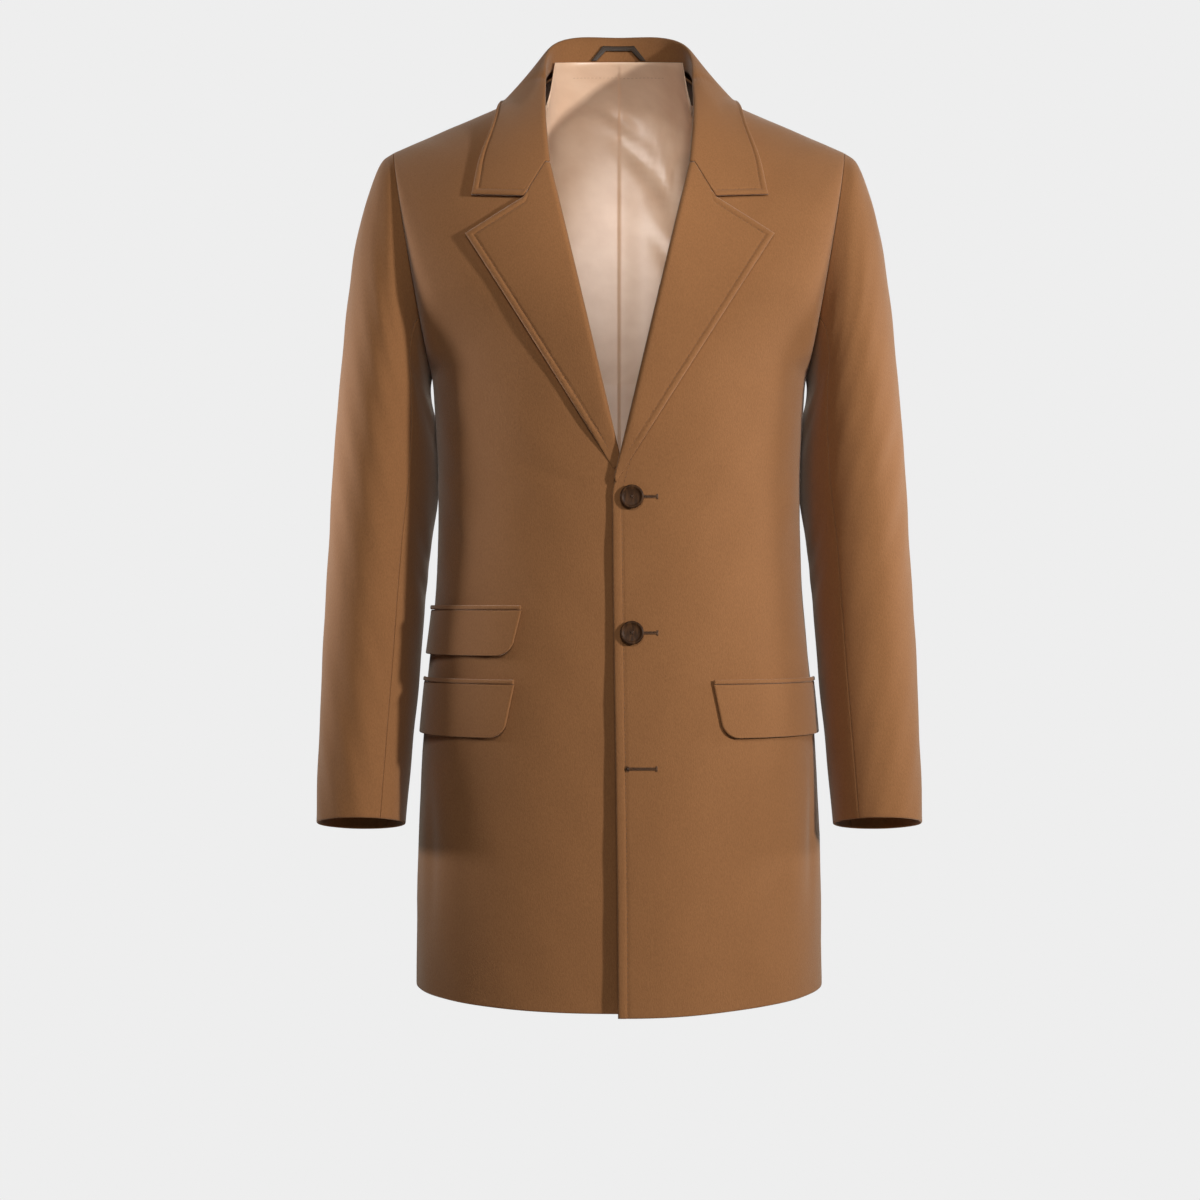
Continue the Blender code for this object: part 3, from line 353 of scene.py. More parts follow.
# The lining's outer face is turned to the back, so a depth below 0 is a ridge seen through the neck
LINING_CREASES = (
    Crease(0.214, 0.850, 0.286, 0.735, 0.014, 0.010, -0.0062),
    Crease(0.345, 0.840, 0.278, 0.765, -0.008, 0.008, -0.0056),
    Crease(0.338, 0.770, 0.274, 0.685, 0.007, 0.008, -0.0060),
    Crease(0.232, 0.780, 0.286, 0.670, 0.008, 0.008, 0.0014),
    Crease(0.250, 0.740, 0.290, 0.615, 0.007, 0.008, -0.0058),
    Crease(0.328, 0.700, 0.278, 0.600, -0.007, 0.008, -0.0052),
    Crease(0.246, 0.665, 0.288, 0.545, -0.006, 0.008, -0.0050),
    Crease(0.312, 0.640, 0.280, 0.530, 0.006, 0.007, -0.0052),
    Crease(0.210, 0.880, 0.274, 0.810, 0.006, 0.008, -0.0044),
    Crease(0.320, 0.885, 0.288, 0.790, 0.005, 0.007, -0.0042),
    Crease(0.292, 0.870, 0.302, 0.700, -0.006, 0.006, -0.0040),
    Crease(0.284, 0.760, 0.294, 0.590, 0.005, 0.006, -0.0038),
    Crease(0.264, 0.870, 0.276, 0.720, 0.007, 0.009, -0.0036),
    Crease(0.150, 0.520, 0.250, 0.380, 0.010, 0.016, -0.0040),
    Crease(0.390, 0.540, 0.300, 0.360, -0.010, 0.016, -0.0036),
)
LINING_FOLD_LIMIT = 0.0016
NECK_BAND = 0.0165
NECK_COLUMNS = 20
PLEAT_DEPTH = 0.0022
PLEAT_FROM, PLEAT_TO = -0.0010, 0.0030
PLEAT_FADES_OVER = 0.030

# Studio
CAMERA_PLACE = (-0.019, -2.5, -0.5)
LENS_MM, SENSOR_MM = 75.0, 36.0
FLOOR_LEVEL = -1.42
FLOOR_RADIUS, FLOOR_FADES_FROM = 1.30, 0.55
AMBIENT = 0.05

# Lamps: a round soft box, or a spot where its cone is above 0 degrees; power in watts
Lamp = namedtuple("Lamp", "name place aim size power cone")
LAMPS = (
    Lamp("key", (1.95, -1.63, 0.09), (0.0, 0.0, -0.45), 0.20, 48.0, 0.0),
    Lamp("front", (0.0, -2.35, 0.66), (0.0, 0.0, -0.45), 0.80, 20.0, 0.0),
    Lamp("behind", (0.50, 2.60, 0.60), (0.0, 0.0, -0.45), 1.40, 30.0, 0.0),
    Lamp("rim_right", (2.25, 0.60, -0.10), (0.27, 0.0, -0.36), 0.60, 175.0, 19.0),
    Lamp("rim_left", (-2.25, 0.60, -0.10), (-0.27, 0.0, -0.36), 0.60, 300.0, 19.0),
    Lamp("neck", (0.08, -2.55, 0.10), (0.0, 0.08, -0.10), 0.20, 135.0, 4.6),
)
SPOT_SOFTNESS = 0.5


def blend(start, end, share):
    return start + (end - start) * share


def ease(low, high, at):
    """0 at low and 1 at high, with a soft start and end."""
    share = min(max((at - low) / (high - low), 0.0), 1.0)
    return share * share * (3.0 - 2.0 * share)


def smooth_row(rows, at):
    """A table's row for any value of its first column, on a smooth curve through the rows."""
    at = min(max(at, rows[0][0]), rows[-1][0])
    index = 0
    while index < len(rows) - 2 and rows[index + 1][0] < at:
        index += 1
    before = rows[max(index - 1, 0)]
    low, high = rows[index], rows[index + 1]
    after = rows[min(index + 2, len(rows) - 1)]
    width = high[0] - low[0]
    share = (at - low[0]) / width
    values = []
    for column in range(len(low)):
        low_slope = (high[column] - before[column]) / (high[0] - before[0])
        high_slope = (after[column] - low[column]) / (after[0] - low[0])
        rise = high[column] - low[column]
        curve = share * (1.0 - share)
        bend = (low_slope * width - rise) * (1.0 - share) + (rise - high_slope * width) * share
        values.append(low[column] + rise * share + curve * bend)
    return type(low)(*values)


def top_edge(across, facing):
    """Level and Y of a panel's top edge: the shoulder seam, or the back's neck seam."""
    slope = (SHOULDER_LEVEL - NECK_LEVEL) / (SHOULDER_HALF - NECK_HALF)
    if across >= NECK_HALF or facing == FRONT:
        return NECK_LEVEL + slope * (across - NECK_HALF), SEAM_Y
    arch = math.sqrt(1.0 - (across / NECK_HALF) ** 2)
    return blend(NECK_LEVEL, BACK_NECK_LEVEL, arch), blend(SEAM_Y, BACK_NECK_Y, arch)


def armhole_half(climb):
    return blend(UNDERARM_HALF, SHOULDER_HALF, climb)


def upper_y(across, climb, facing, grow):
    """Y of the chest or upper back, at a share of the way up from underarm to shoulder."""
    side_x = armhole_half(climb) + grow
    share = min(across / side_x, 1.0)
    ring = BODY_RINGS[-1]
    reach = ring.front_reach if facing == FRONT else ring.back_reach
    roundness = FRONT_ROUNDNESS if facing == FRONT else BACK_ROUNDNESS
    top_y = top_edge(share * SHOULDER_HALF, facing)[1]
    side_y = SEAM_Y + facing * (ARMHOLE_HALF_DEPTH + grow) * 2.0 * math.sqrt(climb * (1.0 - climb))
    fullness = (1.0 - climb ** roundness) ** (1.0 / roundness)
    centre_y = blend(top_y, facing * (reach + grow), fullness)
    across_ring = (1.0 - share ** ring.squareness) ** (1.0 / ring.squareness)
    spread = ease(0.0, ARMHOLE_SPREADS_BY, climb)
    at_armhole = blend(share ** ARMHOLE_EDGE_POWER, 1.0 - across_ring, spread)
    return blend(SEAM_Y, centre_y, across_ring) + (side_y - SEAM_Y) * at_armhole


def climb_at(across, level, facing, grow):
    climb = 0.5
    for _ in range(SETTLE_ROUNDS):
        top = top_edge(min(across / armhole_half(climb), 1.0) * SHOULDER_HALF, facing)[0]
        climb = min((level - UNDERARM_LEVEL) / (top + grow - UNDERARM_LEVEL), 1.0)
    return climb


def body_y(x, level, facing, grow=0.0):
    """Y of the body's outer surface at X and Z, moved out by grow."""
    across = abs(x)
    if level > UNDERARM_LEVEL:
        return upper_y(across, climb_at(across, level, facing, grow), facing, grow)
    ring = smooth_row(BODY_RINGS, level)
    share = min(across / (ring.half_width + grow), 1.0)
    reach = ring.front_reach if facing == FRONT else ring.back_reach
    fullness = (1.0 - share ** ring.squareness) ** (1.0 / ring.squareness)
    return blend(SEAM_Y, facing * (reach + grow), fullness)


def overlap_lift(side, out_x, level):
    """How far the left front stands off the right one that it covers; out_x grows to its own side."""
    if side == RIGHT:
        return 0.0
    low = ease(OVERLAP_TOP, HEM_LEVEL, level)
    lift = blend(OVERLAP_LIFT_TOP, OVERLAP_LIFT_HEM, low) * ease(OVERLAP_ENDS_AT, OVERLAP_TOP, level)
    return lift * (1.0 - ease(OVERLAP_FROM, OVERLAP_TO, out_x))


def front_y(side, out_x, level, grow=0.0):
    return body_y(out_x, level, FRONT, grow) - overlap_lift(side, out_x, level)


def roll_x(side, level):
    """Where the front turns over into the lapel or collar."""
    end_x, end_level = ROLL_END[side]
    if level > GORGE[1]:
        return blend(GORGE[0], NECK_ROLL[0], ease(GORGE[1], NECK_ROLL[1], level))
    return blend(end_x, GORGE[0], (level - end_level) / (GORGE[1] - end_level))


def lapel_fold(down):
    """A lapel's wall and the gap inside its roll, which both thin out towards its lower end."""
    thin = ease(LAPEL_THINS_FROM, 1.0, down)
    return blend(DOUBLED_CLOTH, LAPEL_END_CLOTH, thin), blend(ROLL_GAP, LAPEL_END_GAP, thin)


def front_edge_x(side, level):
    """The front's inner edge: the open front edge below the break, the roll line above it."""
    low = ease(OVERLAP_TOP, HEM_LEVEL, level)
    open_edge = FRONT_EDGE[side] + FRONT_EDGE_SWING[side] * low
    break_level = ROLL_END[side][1]
    wall, gap = lapel_fold((GORGE[1] - level) / (GORGE[1] - break_level))
    clear = FOLD_CLEAR * gap / ROLL_GAP + NECK_CLEAR * ease(NECK_CLEAR_FROM, NECK_CLEAR_TO, level)
    folded_edge = roll_x(side, level) + wall + gap + clear
    return blend(open_edge, folded_edge, ease(break_level - BREAK_BELOW, break_level, level))


def through(values, share):
    """A value at a share of the way through a list of evenly counted steps."""
    place = share * (len(values) - 1)
    step = min(int(place), len(values) - 2)
    return blend(values[step], values[step + 1], place - step)


def swept_x(inner, outer, across):
    """X on a ring from its inner edge to its side, closer together where the ring turns."""
    start = math.asin(inner / outer)
    return outer * math.sin(blend(start, math.pi / 2, across))


def front_point(side, across, up):
    """A front panel, across from its inner edge to the side, up from hem to shoulder."""
    if up <= 0.5:
        level = through(BODY_ROWS, 2.0 * up)
        outer = smooth_row(BODY_RINGS, level).half_width
        out_x = swept_x(front_edge_x(side, level), outer, across)
        y = body_y(out_x, level, FRONT)
        at_hem = 1.0 - ease(0.0, HEM_DIP_FADE, up)
        z = level - FRONT_HEM_DIP[side] * (1.0 - (out_x / outer) ** 2) * at_hem
    else:
        climb = 0.5 - 0.5 * math.cos(math.pi * (2.0 * up - 1.0))
        outer = armhole_half(climb)
        level = UNDERARM_LEVEL
        for _ in range(SETTLE_ROUNDS):
            inner = front_edge_x(side, level)
            top = top_edge(inner / outer * SHOULDER_HALF, FRONT)[0]
            level = blend(UNDERARM_LEVEL, top, climb)
        out_x = swept_x(inner, outer, across)
        top = top_edge(out_x / outer * SHOULDER_HALF, FRONT)[0]
        z = level = blend(UNDERARM_LEVEL, top, climb)
        y = upper_y(out_x, climb, FRONT, 0.0)
    y -= overlap_lift(side, out_x, level) + SEAM_GAP / 2
    return np.array((side * out_x, y, z))


def back_share(across):
    """Share of the half width, with one column always on the neck point."""
    neck = math.asin(NECK_HALF / SHOULDER_HALF) / (math.pi / 2)
    if abs(across) < NECK_POINT_SHARE:
        turn = neck * abs(across) / NECK_POINT_SHARE
    else:
        turn = blend(neck, 1.0, (abs(across) - NECK_POINT_SHARE) / (1.0 - NECK_POINT_SHARE))
    return math.copysign(math.sin(turn * math.pi / 2), across)


def back_point(across, up):
    """The back panel, across from -1 to 1, up from hem to shoulder and neck."""
    share = back_share(across)
    if up <= 0.5:
        z = through(BODY_ROWS, 2.0 * up)
        x = smooth_row(BODY_RINGS, z).half_width * share
        y = body_y(x, z, BACK)
    else:
        climb = 0.5 - 0.5 * math.cos(math.pi * (2.0 * up - 1.0))
        x = armhole_half(climb) * share
        top = top_edge(abs(share) * SHOULDER_HALF, BACK)[0]
        z = blend(UNDERARM_LEVEL, top, climb)
        y = upper_y(abs(x), climb, BACK, 0.0)
    return np.array((x, y + SEAM_GAP / 2, z))


def armhole_normal(side):
    rise, lean = SHOULDER_LEVEL - UNDERARM_LEVEL, SHOULDER_HALF - UNDERARM_HALF
    length = math.hypot(rise, lean)
    return np.array((side * rise / length, 0.0, -lean / length))


def sleeve_point(side, around, along):
    """A sleeve's surface; around is 0 on the outside and a quarter turn at the front."""
    ring = smooth_row(SLEEVE_RINGS, along * SLEEVE_RINGS[-1].along)
    out, ahead = math.cos(around), math.sin(around)
    x = (ring.outer_x + ring.inner_x) / 2 + (ring.outer_x - ring.inner_x) / 2 * out
    z = (ring.outer_z + ring.inner_z) / 2 + (ring.outer_z - ring.inner_z) / 2 * out
    y = ring.centre_y - ring.half_depth * ahead + ring.inner_back * ((1.0 - out) / 2) ** 3
    z += ring.tilt * ring.half_depth * ahead
    off_seam = armhole_normal(LEFT) * SEAM_GAP
    return np.array((side * (x + off_seam[0]), y, z + off_seam[2]))


def notched(start, notch, tip, share):
    """A path from the roll line through the notch to the tip, as X and Z."""
    if share < NOTCH_SHARE:
        return blend(np.array(start), np.array(notch), share / NOTCH_SHARE)
    return blend(np.array(notch), np.array(tip), (share - NOTCH_SHARE) / (1.0 - NOTCH_SHARE))


def laid_over(side, roll, edge, tip, out, to_end, wall=DOUBLED_CLOTH, gap=ROLL_GAP):
    """A turned-over piece lying on the front: round the roll, then out to its edge.

    to_end is 1 at the gorge, where the piece's end follows the notch, and 0 away from it.
    """
    radius = wall + gap
    if out < ROLL_SHARE:
        turn = math.pi * out / ROLL_SHARE
        out_x = roll[0] + radius * (1.0 - math.sin(turn))
        grow = gap - radius * math.cos(turn)
        level = roll[1]
    else:
        share = (out - ROLL_SHARE) / (1.0 - ROLL_SHARE)
        start = np.array((roll[0] + radius, roll[1]))
        straight = blend(start, np.array(edge), share)
        gorge = np.array((GORGE[0] + ROLL_RADIUS, GORGE[1]))
        end_line = blend(gorge, np.array(tip), share)
        out_x, level = straight + (notched(gorge, NOTCH, tip, share) - end_line) * to_end
        edge_out = wall + LAPEL_EDGE_GAP * gap / ROLL_GAP
        grow = blend(gap + radius, edge_out, ease(0.0, 1.0, share))
    return np.array((side * out_x, front_y(side, out_x, level, grow), level))


def lapel_lines(side, down):
    """The roll and the edge of a lapel, as X and Z, at a share of the way down."""
    roll = blend(np.array(GORGE), np.array(ROLL_END[side]), down)
    return roll, blend(np.array(LAPEL_TIP), np.array(LAPEL_END[side]), down)


def lapel_point(side, out, down):
    roll, edge = lapel_lines(side, down)
    to_end = 1.0 - ease(0.0, NOTCH_FADE, down)
    point = laid_over(side, roll, edge, LAPEL_TIP, out, to_end, *lapel_fold(down))
    point[2] -= GORGE_GAP / 2
    return point


def curve_point(start, pull, push, end, share):
    rest = 1.0 - share
    ends = start * rest ** 3 + end * share ** 3
    return ends + 3.0 * rest * share * (pull * rest + push * share)


def rolled(neck, fold, edge, out):
    """A collar section: up the stand, over the fold and down the fall."""
    over = np.array((fold[0], fold[1], 0.0))
    over = over / np.linalg.norm(over)
    if out < ROLL_SHARE:
        rise = fold - neck
        upright = rise - over * rise.dot(over)
        pull = neck + upright * STAND_UPRIGHT
        return curve_point(neck, pull, fold - over * FOLD_REACH, fold, out / ROLL_SHARE)
    fall = edge - fold
    share = (out - ROLL_SHARE) / (1.0 - ROLL_SHARE)
    return curve_point(fold, fold + over * FALL_REACH, edge - fall * FALL_STRAIGHT, edge, share)


def clear_of_body(point, grow):
    """The point, moved out along Y where it would come closer to the body than grow."""
    x, y, z = point
    if z >= top_edge(abs(x), BACK)[0] + grow:
        return point
    facing = FRONT if y < SEAM_Y else BACK
    limit = body_y(x, z, facing, grow)
    gap = facing * (y - limit)
    return np.array((x, limit + facing * (gap + math.hypot(gap, CLEAR_SOFTNESS)) / 2, z))


def collar_lines(across):
    """Neck seam, fold and edge of the collar, at a share of the way round from the centre back."""
    row = smooth_row(COLLAR_ROWS, across * COLLAR_STATIONS[-1].station)
    neck = np.array((row.neck_x, row.neck_y, row.neck_z))
    fold = np.array((row.fold_x, row.fold_y, row.fold_z))
    return neck, fold, np.array((row.edge_x, row.edge_y, row.edge_z))


def collar_point(across, out):
    """The collar, across from -1 to 1 round the neck, out from neck seam over the fold to its edge."""
    neck, fold, edge = collar_lines(across)
    standing = rolled(neck, fold, edge, out)
    if out > ROLL_SHARE:
        clear = clear_of_body(standing, COLLAR_CLEAR)
        standing = blend(standing, clear, ease(ROLL_SHARE, 1.0, 2.0 * out - ROLL_SHARE))
    tip = COLLAR_STATIONS[-1]
    laid = ease(LAID_FROM, LAID_TO, abs(across) * tip.station)
    if laid == 0.0:
        return standing
    side = LEFT if across > 0 else RIGHT
    to_end = ease(COLLAR_END_FROM, 1.0, abs(across))
    roll, rim = (abs(fold[0]), fold[2]), (abs(edge[0]), edge[2])
    flat = laid_over(side, roll, rim, (tip.edge_x, tip.edge_z), out, to_end)
    flat[2] += GORGE_GAP / 2
    return blend(standing, flat, laid)


def halved(low, high, is_below):
    """The place between low and high where is_below turns from true to false."""
    for _ in range(HALVINGS):
        middle = (low + high) / 2
        if is_below(middle):
            low = middle
        else:
            high = middle
    return low


@functools.cache
def lining_top(across):
    """The lining's top edge: straight across when seen from the front, just inside the collar's stand."""
    neck_point = COLLAR_STATIONS[NECK_POINT_STATION].neck_x
    neck_x = abs(back_share(across)) * SHOULDER_HALF * neck_point / NECK_HALF
    station = halved(0.0, NECK_POINT_STATION, lambda place: smooth_row(COLLAR_ROWS, place).neck_x < neck_x)
    round_neck = math.copysign(station / COLLAR_STATIONS[-1].station, across)

    def is_below(out):
        _, y, level = collar_point(round_neck, out)
        return level < LINING_TOP_LEVEL - LINING_TOP_SLOPE * (COLLAR_STATIONS[0].neck_y - y)
    place = collar_point(round_neck, halved(0.0, ROLL_SHARE, is_below))
    outward = np.array((place[0], place[1], 0.0))
    return place - outward / np.linalg.norm(outward) * LINING_STAND_GAP


def lining_point(across, row):
    """The lining inside the back, across from -1 to 1, at a row of the back counted up from its hem."""
    past = max(abs(across) - LINING_NARROWS_FROM, 0.0) / (1.0 - LINING_NARROWS_FROM)
    across -= math.copysign(past * (1.0 - LINING_SIDE_SHARE), across)
    risen = ease(LINING_RISES_FROM_ROW, LINING_TOP_ROW, row)
    near_shoulder = ease(LINING_DROP_FROM, LINING_DROP_TO, abs(across))
    height = (row - LINING_SHOULDER_DROP * near_shoulder * risen) / BODY_STEPS
    low, high = back_point(across, height - SLOPE_STEP), back_point(across, height + SLOPE_STEP)
    left, right = back_point(across - SLOPE_STEP, height), back_point(across + SLOPE_STEP, height)
    out = np.cross(high - low, right - left)
    inside = back_point(across, height) - out / np.linalg.norm(out) * (CLOTH + LINING_GAP)
    turned = ease(LINING_TURNS_FROM_ROW, LINING_TURNS_TO_ROW, row)
    turned *= 1.0 - ease(LINING_TURN_FROM, LINING_TURN_TO, abs(across))
    if turned == 0.0:
        return inside
    risen *= 1.0 - ease(LINING_RISE_FROM, LINING_RISE_TO, abs(across))
    return blend(inside, lining_top(across), np.array((turned, turned, risen)))


def ring_angle(out_x, half_width):
    return math.asin(min(out_x / half_width, 1.0))


def on_front(side, level, angle, grow):
    """A point off the front below the armhole, by its angle round the ring."""
    ring = smooth_row(BODY_RINGS, level)
    out_x = (ring.half_width + grow) * math.sin(angle)
    return np.array((side * out_x, front_y(side, out_x, level, grow), level))


def flap_point(flap, across, down):
    level = blend(flap.top_level, flap.bottom_level, down)
    above_bottom = level - flap.bottom_level
    corner = max(FLAP_CORNER - above_bottom, 0.0)
    cut = FLAP_CORNER - math.sqrt(FLAP_CORNER ** 2 - corner ** 2)
    front_x = flap.front_x + FLAP_SLANT * down + cut
    start = ring_angle(front_x, smooth_row(BODY_RINGS, level).half_width)
    angle = blend(start, FLAP_END_ANGLE, across)
    return on_front(flap.side, level, angle, blend(FLAP_OUT_TOP, FLAP_OUT_BOTTOM, down))


def welt_point(flap, across, down):
    bottom = flap.top_level + SEAM_GAP
    level = blend(bottom + WELT_HEIGHT, bottom, down)
    start = ring_angle(flap.front_x, smooth_row(BODY_RINGS, level).half_width)
    return on_front(flap.side, level, blend(start, FLAP_END_ANGLE, across), WELT_OUT)


def stand_place(x, level):
    """The place on the collar's stand, near the centre of the back, at X and Z."""
    across = x / COLLAR_STATIONS[1].fold_x / COLLAR_STATIONS[-1].station
    out = halved(0.0, ROLL_SHARE, lambda place: collar_point(across, place)[2] < level)
    return collar_point(across, out)


def loop_point(along, inward):
    """The hanger loop, along a flat-topped arch and in across its band."""
    half_bottom = LOOP_HALF_BOTTOM - LOOP_BAND * inward
    half_top = LOOP_HALF_TOP - LOOP_TOP_NARROWS * LOOP_BAND * inward
    top = LOOP_HIGH - LOOP_BAND * inward
    leg = LOOP_LEG_SHARE
    if leg <= along <= 1.0 - leg:
        x, level = blend(-half_top, half_top, (along - leg) / (1.0 - 2.0 * leg)), top
    else:
        rise = min(along, 1.0 - along) / leg
        x = math.copysign(blend(half_bottom, half_top, rise), along - 0.5)
        level = blend(LOOP_LOW, top, rise)
    place = stand_place(x, level)
    place[1] -= LOOP_STAND
    return place


def steps_from_edge(count, length):
    """Distances in from an edge: the fine steps first, then even ones."""
    fine = [step * min(1.0, length / WIDE_ENOUGH) for step in EDGE_STEPS]
    even = np.linspace(fine[-1], length, count - len(fine) + 2)[1:]
    return np.array((*fine, *even))


def steps_between(count, length):
    """Shares of the way between two edges, with fine steps at both."""
    half = steps_from_edge(count // 2, length / 2)
    return np.concatenate((half, length - half[-2::-1])) / length


def soft_step(low, high, at):
    share = np.clip((at - low) / (high - low), 0.0, 1.0)
    return share * share * (3.0 - 2.0 * share)


def unit(directions):
    return directions / np.linalg.norm(directions, axis=-1, keepdims=True)


def lengths_along(points, axis):
    """Distance of each point of a grid or path from its first edge or end, along one axis."""
    steps = np.linalg.norm(np.diff(points, axis=axis), axis=-1)
    start = np.zeros_like(np.take(steps, [0], axis=axis))
    return np.cumsum(np.concatenate((start, steps), axis=axis), axis=axis)


def softened(points, middle):
    """Evens out a slight ridge across the grid at one row, leaving its side edges alone."""
    band = slice(middle - SOFT_REACH, middle + SOFT_REACH + 1)
    rows = np.sin(math.pi * np.linspace(0.0, 1.0, 2 * SOFT_REACH + 1))[:, None, None]
    share = np.linspace(0.0, 1.0, points.shape[1])[:, None]
    hold = rows * soft_step(0.0, SOFT_SIDES, share) * soft_step(0.0, SOFT_SIDES, 1.0 - share)
    for _ in range(SOFT_ROUNDS):
        mean = (points[band.start - 1:band.stop - 1] + points[band.start + 1:band.stop + 1]) / 2
        points[band] += (mean - points[band]) * hold
    return points


class Panel:
    """A piece of cloth as a grid of points on its outer face, with distances along it in metres.

    outward is the sign that turns the normals out. seam_planes are rows, columns and the normal of the
    plane that the cloth's thickness keeps to there. soft_row is a row to even out.
    """

    def __init__(self, place, columns, rows, outward, seam_planes=None, soft_row=None):
        self.columns, self.rows = columns, rows
        self.points = np.array([[place(column, row) for column in range(columns + 1)]
                                for row in range(rows + 1)])
        if soft_row:
            self.points = softened(self.points, soft_row)
        along, rise = np.gradient(self.points, axis=1), np.gradient(self.points, axis=0)
        self.normals = unit(np.cross(along, rise)) * outward
        self.u, self.v = lengths_along(self.points, 1), lengths_along(self.points, 0)
        self.away = {"left": self.u, "right": self.u[:, -1:] - self.u,
                     "low": self.v, "high": self.v[-1:] - self.v}
        self.inward = self.normals.copy()
        for row, column, plane in seam_planes or ():
            kept = self.inward[row, column]
            self.inward[row, column] = unit(kept - plane * (kept @ plane)[..., None])
        self.face = self.points

    def undulation(self, height):
        """Broad, faint unevenness of hanging cloth."""
        waves = sum(np.sin(2.0 * math.pi * (self.u / across + self.v / up))
                    for across, up in BUMP_PERIODS)
        return height * waves / len(BUMP_PERIODS)

    def creased(self, creases):
        """Soft troughs and ridges, each fading out at its ends."""
        height = np.zeros_like(self.u)
        for crease in creases:
            run_u, run_v = crease.end_u - crease.start_u, crease.end_v - crease.start_v
            length = math.hypot(run_u, run_v)
            from_u, from_v = self.u - crease.start_u, self.v - crease.start_v
            along = np.clip((from_u * run_u + from_v * run_v) / length ** 2, 0.0, 1.0)
            off = (from_v * run_u - from_u * run_v) / length - crease.bow * 4.0 * along * (1.0 - along)
            ends = np.sin(math.pi * along) ** CREASE_END_POWER
            height += crease.depth * np.exp(-(off / crease.width) ** 2) * ends
        return height

    def faded(self, drape, over, *edges):
        """The drape, dying away towards the named edges."""
        for edge in edges:
            drape = drape * soft_step(0.0, over, self.away[edge])
        return drape

    def rounded(self, edges):
        """How far the face drops at its edges, as a share of the thickness."""
        drop = np.zeros_like(self.u)
        for name, edge in edges.items():
            inside = np.clip(1.0 - self.away[name] / edge.radius, 0.0, 1.0)
            drop = np.maximum(drop, edge.drop * (1.0 - np.sqrt(1.0 - inside ** 2)))
        return drop

    def sewn(self, name, thickness, material, edges, drape=0.0, swell=0.0):
        """The cloth as a closed thin shell; drape moves both of its faces and swell the outer one."""
        drop = self.rounded(edges) * thickness
        self.face = self.points + self.normals * (drape + swell - drop)[..., None]
        lift = self.normals * (np.zeros_like(drop) + drape)[..., None]
        behind = self.points + lift - self.inward * (thickness - drop)[..., None]
        cloth = bmesh.new()
        chart = cloth.loops.layers.uv.new("cloth")
        bmesh.ops.create_grid(cloth, x_segments=self.columns, y_segments=self.rows, size=0.5)
        copied = bmesh.ops.extrude_face_region(cloth, geom=cloth.faces[:])["geom"]
        inner = {item for item in copied if isinstance(item, bmesh.types.BMVert)}
        spot = {}
        for vertex in cloth.verts:
            column = round((vertex.co.x + 0.5) * self.columns)
            row = round((vertex.co.y + 0.5) * self.rows)
            spot[vertex] = row, column
            vertex.co = Vector((behind if vertex in inner else self.face)[row, column])
        for corner in (corner for face in cloth.faces for corner in face.loops):
            corner[chart].uv = self.u[spot[corner.vert]], self.v[spot[corner.vert]]
        bmesh.ops.recalc_face_normals(cloth, faces=cloth.faces[:])
        return finish_mesh(name, cloth, material)

    def line_in_from(self, edge, inset, start=0, stop=None):
        """Points and normals of a line on the face, a distance in from an edge."""
        turned = edge in ("low", "high")
        face = np.swapaxes(self.face, 0, 1) if turned else self.face
        normals = np.swapaxes(self.normals, 0, 1) if turned else self.normals
        away = self.away[edge].T if turned else self.away[edge]
        picked = []
        for index in range(len(face))[start:stop]:
            order = np.argsort(away[index])
            both = np.concatenate((face[index], normals[index]), axis=1)[order]
            picked.append([np.interp(inset, away[index][order], both[:, axis]) for axis in range(6)])
        picked = np.array(picked)
        return picked[:, :3], unit(picked[:, 3:])


def finish_mesh(name, shape, material):
    mesh = bpy.data.meshes.new(name)
    shape.to_mesh(mesh)
    shape.free()
    mesh.materials.append(material)
    mesh.shade_smooth()
    thing = bpy.data.objects.new(name, mesh)
    bpy.context.scene.collection.objects.link(thing)
    return thing


def dress(piece, slot, *nodes):
    """Ride on the coat's one body and stand for the named solids; slot is not used."""
    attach(piece, "root")
    if nodes:
        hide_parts(*nodes)
    return piece


def swelled(away, inset, sizes):
    """A stitched edge: the cloth puffs up between its edge and the stitches, and dips along them."""
    puff = soft_step(0.0, PUFF_RISES_TO * inset, away)
    puff = puff * (1.0 - soft_step(PUFF_FALLS_FROM * inset, inset, away))
    dip = np.exp(-((away - inset) / sizes.stitch_dip_width) ** 2)
    return sizes.edge_swell * puff - sizes.stitch_depth * dip


def sew_along(shape, path, out, sizes):
    """Small thread stitches along a path, bedded into the cloth."""
    along, pitch = lengths_along(path, 0), sizes.stitch_pitch
    for place in np.arange(pitch / 2, along[-1] - pitch / 2, pitch):
        ends = [Vector([np.interp(place + step, along, path[:, axis]) for axis in range(3)])
                for step in (-sizes.stitch_length / 2, sizes.stitch_length / 2)]
        up = Vector([np.interp(place, along, out[:, axis]) for axis in range(3)])
        add_stitch(shape, ends[0], ends[1], up, sizes.thread_width)


def add_stitch(shape, start, end, up, width):
    """One thread from start to end, as a small rounded spindle."""
    run = end - start
    side = run.cross(up).normalized()
    up = side.cross(run).normalized()
    axes = Matrix((run * STITCH_OVERRUN, side * width, up * width)).transposed().to_4x4()
    axes.translation = (start + end) / 2
    bmesh.ops.create_uvsphere(shape, u_segments=6, v_segments=5, radius=0.5,
                              matrix=axes @ Matrix.Rotation(math.pi / 2, 4, "Y"))


def hex_colour(text):
    """Linear RGBA of an sRGB hex value."""
    parts = [int(text[start:start + 2], 16) / 255.0 for start in (1, 3, 5)]
    linear = [part / 12.92 if part <= 0.04045 else ((part + 0.055) / 1.055) ** 2.4 for part in parts]
    return (*linear, 1.0)


